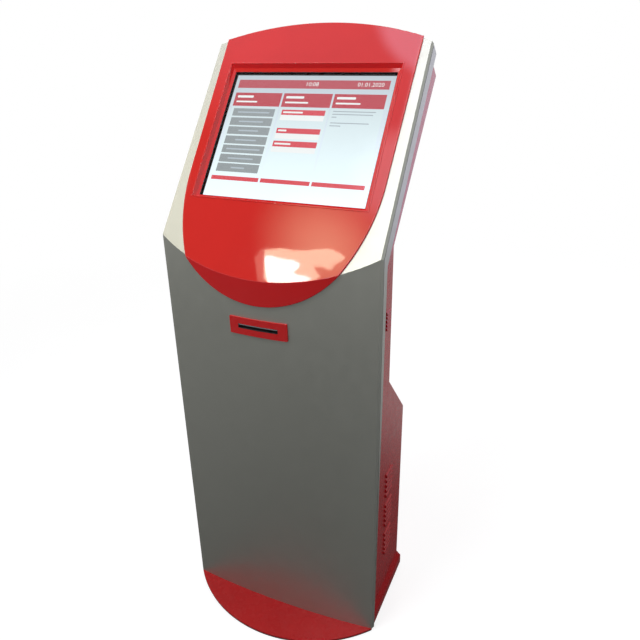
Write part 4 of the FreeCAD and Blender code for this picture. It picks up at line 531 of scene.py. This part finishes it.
def screen_picture():
    builder = bmesh.new()
    for x_span, y_span, layer, material, corner in picture_patches():
        patch(builder, x_span, y_span, layer, material, corner)
    numerals(builder, "10:08", 12.6, 2.0, 338.2, 4, FIELD)
    numerals(builder, "01.01.2020", 11.8, 120.5, 338.2, 4, FIELD)
    mesh = mesh_from(builder, "screen_picture")
    mesh_piece("screen_picture", mesh, "kiosk", picture_materials())


# ---- Ticket slot -------------------------------------------------------------
SLOT_HEIGHT = 0.7155        # middle of the ticket slot above the floor
SLOT_HALF = (0.0410, 0.0045)    # half its width and height
BEZEL_FRONT = -0.1416       # bezel's face on the centre line
BOW_RADIUS = 0.618          # of the bowed front at the slot
THROAT_END = -0.1262
LINER_GAP = 0.00005         # from the slot's walls
LINER_WALL = 0.0006         # liner's inner face from the slot's walls
LINER_RIM = (0.0009, 0.0006)    # outer and inner edge behind the bezel's face
TEETH = 52
TOOTH_TIP, TOOTH_ROOT = 0.0017, 0.0012      # below the bar's top
BAR_BEHIND = 0.0010         # bar's front behind the bezel's face
BAR_THICK = 0.0006
BAR_INSET = (0.0012, 0.0007)    # from the slot's ends and from its top


def bowed(x, behind):
    """Depth of the bowed bezel's face at x, and a little behind it."""
    return BEZEL_FRONT + behind + x * x / (2 * BOW_RADIUS)


def slot_loop(inset, behind, columns=8):
    """Points round the slot, set in from its walls."""
    half_x, half_z = (half - inset for half in SLOT_HALF)
    places = [half_x * (2 * k / columns - 1) for k in range(columns + 1)]
    outline = [(x, -half_z) for x in places] + [(x, half_z) for x in reversed(places)]
    return [(x, bowed(x, behind), SLOT_HEIGHT + z) for x, z in outline]


def slot_liner():
    """Black sleeve in the bezel's slot."""
    builder = bmesh.new()
    back = THROAT_END - BEZEL_FRONT
    section = ((LINER_GAP, LINER_RIM[0]), (LINER_WALL, LINER_RIM[1]),
               (LINER_WALL, back), (LINER_GAP, back))
    rings = [[builder.verts.new(point) for point in slot_loop(inset, behind)]
             for inset, behind in section]
    for near, far in zip(rings, rings[1:] + rings[:1]):
        join_rings(builder, near, far)
    face_outward(builder)
    mesh = mesh_from(builder, "slot_liner")
    mesh_piece("slot_liner", mesh, "kiosk", [FINISHES["black_plastic"]])


def tear_bar():
    """Bright toothed strip along the top of the slot, against which a ticket tears."""
    builder = bmesh.new()
    half = SLOT_HALF[0] - BAR_INSET[0]
    top = SLOT_HEIGHT + SLOT_HALF[1] - BAR_INSET[1]
    rings = []
    for k in range(2 * TEETH + 1):
        x = half * (k / TEETH - 1)
        low = top - (TOOTH_ROOT if k % 2 else TOOTH_TIP)
        front = bowed(x, BAR_BEHIND)
        back = front + BAR_THICK
        section = ((x, front, top), (x, front, low), (x, back, low), (x, back, top))
        rings.append([builder.verts.new(point) for point in section])
    for near, far in zip(rings, rings[1:]):
        join_rings(builder, near, far)
    builder.faces.new(rings[0][::-1])
    builder.faces.new(rings[-1])
    face_outward(builder)
    mesh = mesh_from(builder, "tear_bar")
    mesh_piece("tear_bar", mesh, "kiosk", [FINISHES["bright_chrome"]])


# ---- Screws ------------------------------------------------------------------
# The back of the head: x across, y up along it, z into the head.
HEAD_BACK_TILT = math.radians(48.4)
HEAD_BACK_FOOT = (0, -0.03957, 0.81358)
HEAD_BACK = Matrix.Translation(HEAD_BACK_FOOT) @ Matrix.Rotation(HEAD_BACK_TILT, 4, "X")
HEAD_PANEL_THICK = 0.002
HEAD_SCREW_X = 0.1675
HEAD_SCREW_HEIGHTS = (0.0975, 0.2200, 0.3425)
HEAD_SCREW_SIZE = (0.0040, 0.0022)      # radius and rise

HINGE_X = -0.16425
HINGE_SCREW_OUT = 0.015         # from the hinge's axis
HINGE_SCREW_STEP = 0.0135       # up and down from the hinge's middle
HINGE_SCREW_SIZE = (0.0032, 0.0011)
# For each door the depth of its leaves' faces and the heights of its hinges.
DOOR_HINGES = (("upper_door", 0.0001, (0.646, 0.792)), ("lower_door", 0.1098, (0.159, 0.389)))

# A screw's head, as shares of its radius and rise.
DOME = ((1.0, 0.0), (1.0, 0.30), (0.93, 0.58), (0.80, 0.80), (0.62, 0.94))
RECESS_ARM, RECESS_HALF = 0.52, 0.13
RECESS_FLOOR, RECESS_TAPER = 0.35, 0.85
SMOOTH_UP_TO = math.radians(50)


def cross_outline(arm, half):
    """Points of a plus sign, with a point halfway along each of its edges."""
    corners = []
    for quarter in range(4):
        turn = Matrix.Rotation(math.radians(90 * quarter), 2)
        corners += [turn @ Vector(corner) for corner in ((arm, -half), (arm, half), (half, half))]
    return [point for first, second in zip(corners, corners[1:] + corners[:1])
            for point in (first, (first + second) / 2)]


def screw_head(builder, place, radius, rise):
    """Domed head with a cross recess, standing on the z = 0 plane of its place."""
    outline = cross_outline(RECESS_ARM * radius, RECESS_HALF * radius)
    angles = [math.atan2(point.y, point.x) for point in outline]
    loops = [[(share * radius * math.cos(a), share * radius * math.sin(a), height * rise)
              for a in angles] for share, height in DOME]
    loops += [[(share * point.x, share * point.y, height * rise) for point in outline]
              for share, height in ((1.0, 1.0), (RECESS_TAPER, RECESS_FLOOR))]
    rings = [[builder.verts.new(place @ Vector(point)) for point in loop] for loop in loops]
    for near, far in zip(rings, rings[1:]):
        join_rings(builder, near, far)
    builder.faces.new(rings[0][::-1])
    builder.faces.new(rings[-1])


def screw_group(name, body, places, size):
    builder = bmesh.new()
    for place in places:
        screw_head(builder, place, *size)
    face_outward(builder)
    mesh = mesh_from(builder, name)
    mesh.shade_smooth()
    mesh.set_sharp_from_angle(angle=SMOOTH_UP_TO)
    return mesh_piece(name, mesh, body, [FINISHES["zinc_steel"]])


def head_screws():
    """The six screws of the head's service panel, each turned a little differently."""
    outward = Matrix.Rotation(math.pi, 4, "X")
    places = []
    for x in (-HEAD_SCREW_X, HEAD_SCREW_X):
        for y in HEAD_SCREW_HEIGHTS:
            turned = Matrix.Rotation(3 * x + 9 * y, 4, "Z")
            seat = Matrix.Translation((x, y, -HEAD_PANEL_THICK))
            places.append(HEAD_BACK @ seat @ outward @ turned)
    screws = screw_group("head_panel_cross_screws", "kiosk", places, HEAD_SCREW_SIZE)
    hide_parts("head_panel_screws")


def hinge_screws():
    """Two screws in each hinge leaf, heads towards the back, each turned a little differently."""
    backward = Matrix.Rotation(math.radians(-90), 4, "X")
    for door, face, heights in DOOR_HINGES:
        for side, body, direction in (("frame", "kiosk", -1), ("door", door, 1)):
            x = HINGE_X + direction * HINGE_SCREW_OUT
            places = []
            for height in heights:
                for step in (-HINGE_SCREW_STEP, HINGE_SCREW_STEP):
                    turned = Matrix.Rotation(40 * height + 60 * step, 4, "Z")
                    places.append(Matrix.Translation((x, face, height + step)) @ backward @ turned)
            screw_group(f"{door}_hinge_{side}_screws", body, places, HINGE_SCREW_SIZE)


# ---- Studio ------------------------------------------------------------------
FLOOR_HALF = 14.0


def seen_directly(tree, kinds):
    """1 for camera rays and for rays of the other kinds named, 0 for the rest."""
    path = tree.nodes.new("ShaderNodeLightPath")
    total = path.outputs["Is Camera Ray"]
    for name in kinds:
        made = tree.nodes.new("ShaderNodeMath")
        made.operation = "MAXIMUM"
        tree.links.new(total, made.inputs[0])
        tree.links.new(path.outputs[name], made.inputs[1])
        total = made.outputs[0]
    return total


def studio_world(ambient):
    """White to the camera, to reflections and through glass, and a dimmer light elsewhere."""
    world = bpy.data.worlds.new("studio")
    scene.world = world
    world.use_nodes = True
    tree = world.node_tree
    tree.nodes.clear()
    out = tree.nodes.new("ShaderNodeOutputWorld")
    back = tree.nodes.new("ShaderNodeBackground")
    back.inputs["Color"].default_value = (1, 1, 1, 1)
    level = tree.nodes.new("ShaderNodeMapRange")
    direct = seen_directly(tree, ("Is Glossy Ray", "Is Transmission Ray"))
    tree.links.new(direct, level.inputs["Value"])
    level.inputs["To Min"].default_value = ambient
    level.inputs["To Max"].default_value = 1.0
    tree.links.new(level.outputs["Result"], back.inputs["Strength"])
    tree.links.new(back.outputs[0], out.inputs["Surface"])


def studio_floor(near_level):
    """Floor that keeps the kiosk's shadow and fades into the white background."""
    mesh = bpy.data.meshes.new("floor")
    corners = [(x * FLOOR_HALF, y * FLOOR_HALF, 0) for x, y in ((-1, -1), (1, -1), (1, 1), (-1, 1))]
    mesh.from_pydata(corners, [], [(0, 1, 2, 3)])
    floor = bpy.data.objects.new("floor", mesh)
    scene.collection.objects.link(floor)
    s = Shader("floor")
    length = s.node("ShaderNodeVectorMath", operation="LENGTH")
    s.link(s.place, length.inputs[0])
    distance = length.outputs["Value"]
    camera = seen_directly(s.tree, ())
    direct = seen_directly(s.tree, ("Is Transmission Ray",))
    glossy = s.node("ShaderNodeLightPath").outputs["Is Glossy Ray"]

    # White from some way off. Reflections see it white farther out, and half white behind
    # the kiosk.
    white_far = s.maths("MULTIPLY", direct, s.smooth(distance, 0.8, 3.0))
    behind = s.maths("MULTIPLY", s.smooth(s.axes()["Y"], 0.3, 0.9), 0.46)
    beyond = s.smooth(distance, 2.6, 6.5)
    white_mirrored = s.maths("MULTIPLY", glossy, s.maths("MAXIMUM", behind, beyond))

    # Matt grey close by, and darker still to reflections.
    speck = s.mix(s.ramp(s.noise(3.0), 0.3, 0.7), (0.33, 0.33, 0.33), (0.31, 0.31, 0.315))
    full = s.maths("MAXIMUM", s.maths("SUBTRACT", 1.0, glossy), s.smooth(distance, 0.3, 1.3))
    matt = s.node("ShaderNodeBsdfDiffuse")
    s.link(s.mix(full, (0.19, 0.19, 0.19), speck), matt.inputs["Color"])
    near = s.node("ShaderNodeAddShader")
    s.link(matt.outputs[0], near.inputs[0])
    s.link(s.emission(strength=s.maths("MULTIPLY", camera, near_level)), near.inputs[1])

    both = s.node("ShaderNodeMixShader")
    s.link(s.maths("MAXIMUM", white_far, white_mirrored), both.inputs[0])
    s.link(near.outputs[0], both.inputs[1])
    s.link(s.emission(), both.inputs[2])
    s.link(both.outputs[0], s.out.inputs["Surface"])
    mesh.materials.append(s.material)


def softbox(name, place, target, size, power, colour=(1, 1, 1)):
    """Lamp that lights matt surfaces and is left out of reflections."""
    data = bpy.data.lights.new(name, "AREA")
    data.shape = "RECTANGLE"
    data.size, data.size_y = size
    data.energy = power
    data.color = colour
    lamp = bpy.data.objects.new(name, data)
    scene.collection.objects.link(lamp)
    lamp.location = place
    lamp.visible_glossy = False
    lamp.visible_transmission = False
    aim = Vector(target) - Vector(place)
    lamp.rotation_euler = aim.to_track_quat("-Z", "Y").to_euler()


# The window that the shield mirrors: a plane square to the mirrored line of sight.
WINDOW_MIDDLE = Vector((-0.5609, -0.9280, 2.0632))
WINDOW_ACROSS = Vector((-0.78124, 0.62423, 0))
WINDOW_UP = Vector((0.47457, 0.59393, 0.64965))
WINDOW_TOWARDS = Vector((0.40553, 0.50753, -0.76024))
CARD_STEP = 0.002           # each card in front of the one before


def mirror_card(name, corners, material):
    """Shape that only mirror-like reflections see."""
    builder = bmesh.new()
    builder.faces.new([builder.verts.new(corner) for corner in corners])
    bmesh.ops.triangulate(builder, faces=builder.faces[:])
    mesh = mesh_from(builder, name)
    mesh.materials.append(material)
    card = bpy.data.objects.new(name, mesh)
    scene.collection.objects.link(card)
    card.visible_camera = False
    card.visible_diffuse = False
    card.visible_transmission = False
    card.visible_shadow = False


def window_card(name, outline, layer, material):
    """Card in the window's plane, from its outline across and up from the middle."""
    base = WINDOW_MIDDLE + WINDOW_TOWARDS * CARD_STEP * layer
    mirror_card(name, [base + WINDOW_ACROSS * x + WINDOW_UP * y for x, y in outline], material)


def soft_surroundings():
    """The room above the head: dimmer low down, with soft bright areas in it."""
    s = Shader("soft_surroundings")

    def along(direction):
        dot = s.node("ShaderNodeVectorMath", operation="DOT_PRODUCT")
        s.link(s.place, dot.inputs[0])
        dot.inputs[1].default_value = direction
        return s.maths("SUBTRACT", dot.outputs["Value"], WINDOW_MIDDLE.dot(direction))

    across, up = along(WINDOW_ACROSS), along(WINDOW_UP)

    def area(centre, radii, rim):
        """1 in the middle of an oval, falling softly to 0 over the given share of its radius."""
        dx = s.maths("DIVIDE", s.maths("SUBTRACT", across, centre[0]), radii[0])
        dy = s.maths("DIVIDE", s.maths("SUBTRACT", up, centre[1]), radii[1])
        square = s.maths("ADD", s.maths("MULTIPLY", dx, dx), s.maths("MULTIPLY", dy, dy))
        return s.smooth(s.maths("SUBTRACT", 1.0, s.maths("SQRT", square)), 0.0, rim)

    def beside(point, direction, soft):
        """1 on the side of a line that the direction points to."""
        dx = s.maths("MULTIPLY", s.maths("SUBTRACT", across, point[0]), direction[0])
        dy = s.maths("MULTIPLY", s.maths("SUBTRACT", up, point[1]), direction[1])
        return s.smooth(s.maths("ADD", dx, dy), 0.0, soft)

    def both(first, second):
        return s.maths("MULTIPLY", first, second)

    pane = both(area((-0.08, 0.52), (0.24, 0.24), 0.5),
                beside((0.065, 0.715), (-0.616, -0.787), 0.05))
    wall = both(beside((0.16, 0.93), (-0.907, 0.4226), 0.05),
                beside((-0.87, 0.76), (0.753, -0.657), 0.12))
    total = s.mix(s.smooth(up, 0.1, 0.55), (0.42, 0.40, 0.26), (1.0, 1.0, 1.05))
    for share, light in (
        (area((-0.03, 0.10), (0.36, 0.30), 1.0), (4.5, 4.3, 2.7)),
        (area((0.20, 1.04), (0.26, 0.17), 0.4), (2.0, 2.0, 2.6)),
        (pane, (1.6, 1.6, 1.7)),
        (wall, (5.6, 5.5, 6.0)),
        (beside((0.52, -0.20), (0.918, -0.395), 0.03), (3.0, 2.8, 2.7)),
    ):
        total = s.mix(share, total, light, "ADD")
    return s.glow(total)


def studio_window():
    """The bright window that the shield's lower part mirrors, and the room round it."""
    dim = [(0.165, -0.05), (0.18, -0.078), (0.179, -0.118), (0.142, -0.156), (0.112, -0.187),
           (0.060, -0.180), (0.04, -0.13)]
    warm = [(0.165, -0.066), (0.12, -0.02), (0.069, 0.009), (0.03, 0.038), (0.004, 0.065),
            (-0.03, 0.099), (-0.059, 0.115), (-0.092, 0.125), (-0.126, 0.125), (-0.124, 0.102),
            (-0.107, 0.072), (-0.11, 0.047), (-0.103, 0.038), (-0.063, 0.024), (-0.042, 0.007),
            (-0.058, -0.004), (-0.088, -0.008), (-0.081, -0.034), (-0.021, -0.095),
            (0.055, -0.175), (0.093, -0.165), (0.13, -0.12)]
    hot = [(0.147, -0.085), (0.132, -0.07), (0.104, -0.058), (0.07, -0.041), (0.043, -0.023),
           (0.02, -0.018), (0.007, -0.025), (0.008, -0.046), (0.015, -0.063), (-0.002, -0.063),
           (-0.036, -0.046), (-0.061, -0.034), (-0.064, -0.047), (-0.024, -0.096),
           (0.036, -0.164), (0.066, -0.17), (0.094, -0.151), (0.117, -0.123), (0.138, -0.105)]
    sky = [(-1.4, -0.75), (1.5, -0.75), (1.5, 1.7), (-1.4, 1.7)]
    window_card("window_sky", sky, 0, soft_surroundings())
    window_card("window_edge", dim, 1, Shader("window_edge").glow((1.0, 0.80, 0.60), 3.0))
    window_card("window_warm", warm, 2, Shader("window_warm").glow((0.95, 0.90, 0.62), 13.0))
    window_card("window_hot", hot, 3, Shader("window_hot").glow((1.0, 0.97, 0.90), 28.0))


def side_panel():
    """Bright panel behind the kiosk's right side, which its silver flange mirrors."""
    corners = [(0.7, 2.4, 0.05), (1.7, 2.4, 0.05), (1.7, 2.4, 1.7), (0.7, 2.4, 1.7)]
    mirror_card("side_panel", corners, Shader("side_panel").glow((0.80, 0.78, 1.0), 1.85))


def studio_lights():
    softbox("key", (-0.45, -1.0, 2.35), (0, -0.05, 0.95), (0.9, 0.7), 24)
    softbox("fill", (-2.2, -2.0, 1.6), (0, 0, 0.7), (1.6, 1.6), 7.5)
    softbox("side", (1.6, 0.1, 1.7), (0, 0, 1.0), (0.9, 0.9), 8, (0.88, 0.94, 1.0))
    softbox("back", (0.1, 2.6, 1.7), (0, 0.1, 0.6), (1.8, 1.8), 34)


make_camera()
dress_cad_nodes()
screen_picture()
slot_liner()
tear_bar()
head_screws()
hinge_screws()
studio_world(0.25)
studio_floor(0.80)
studio_window()
side_panel()
studio_lights()
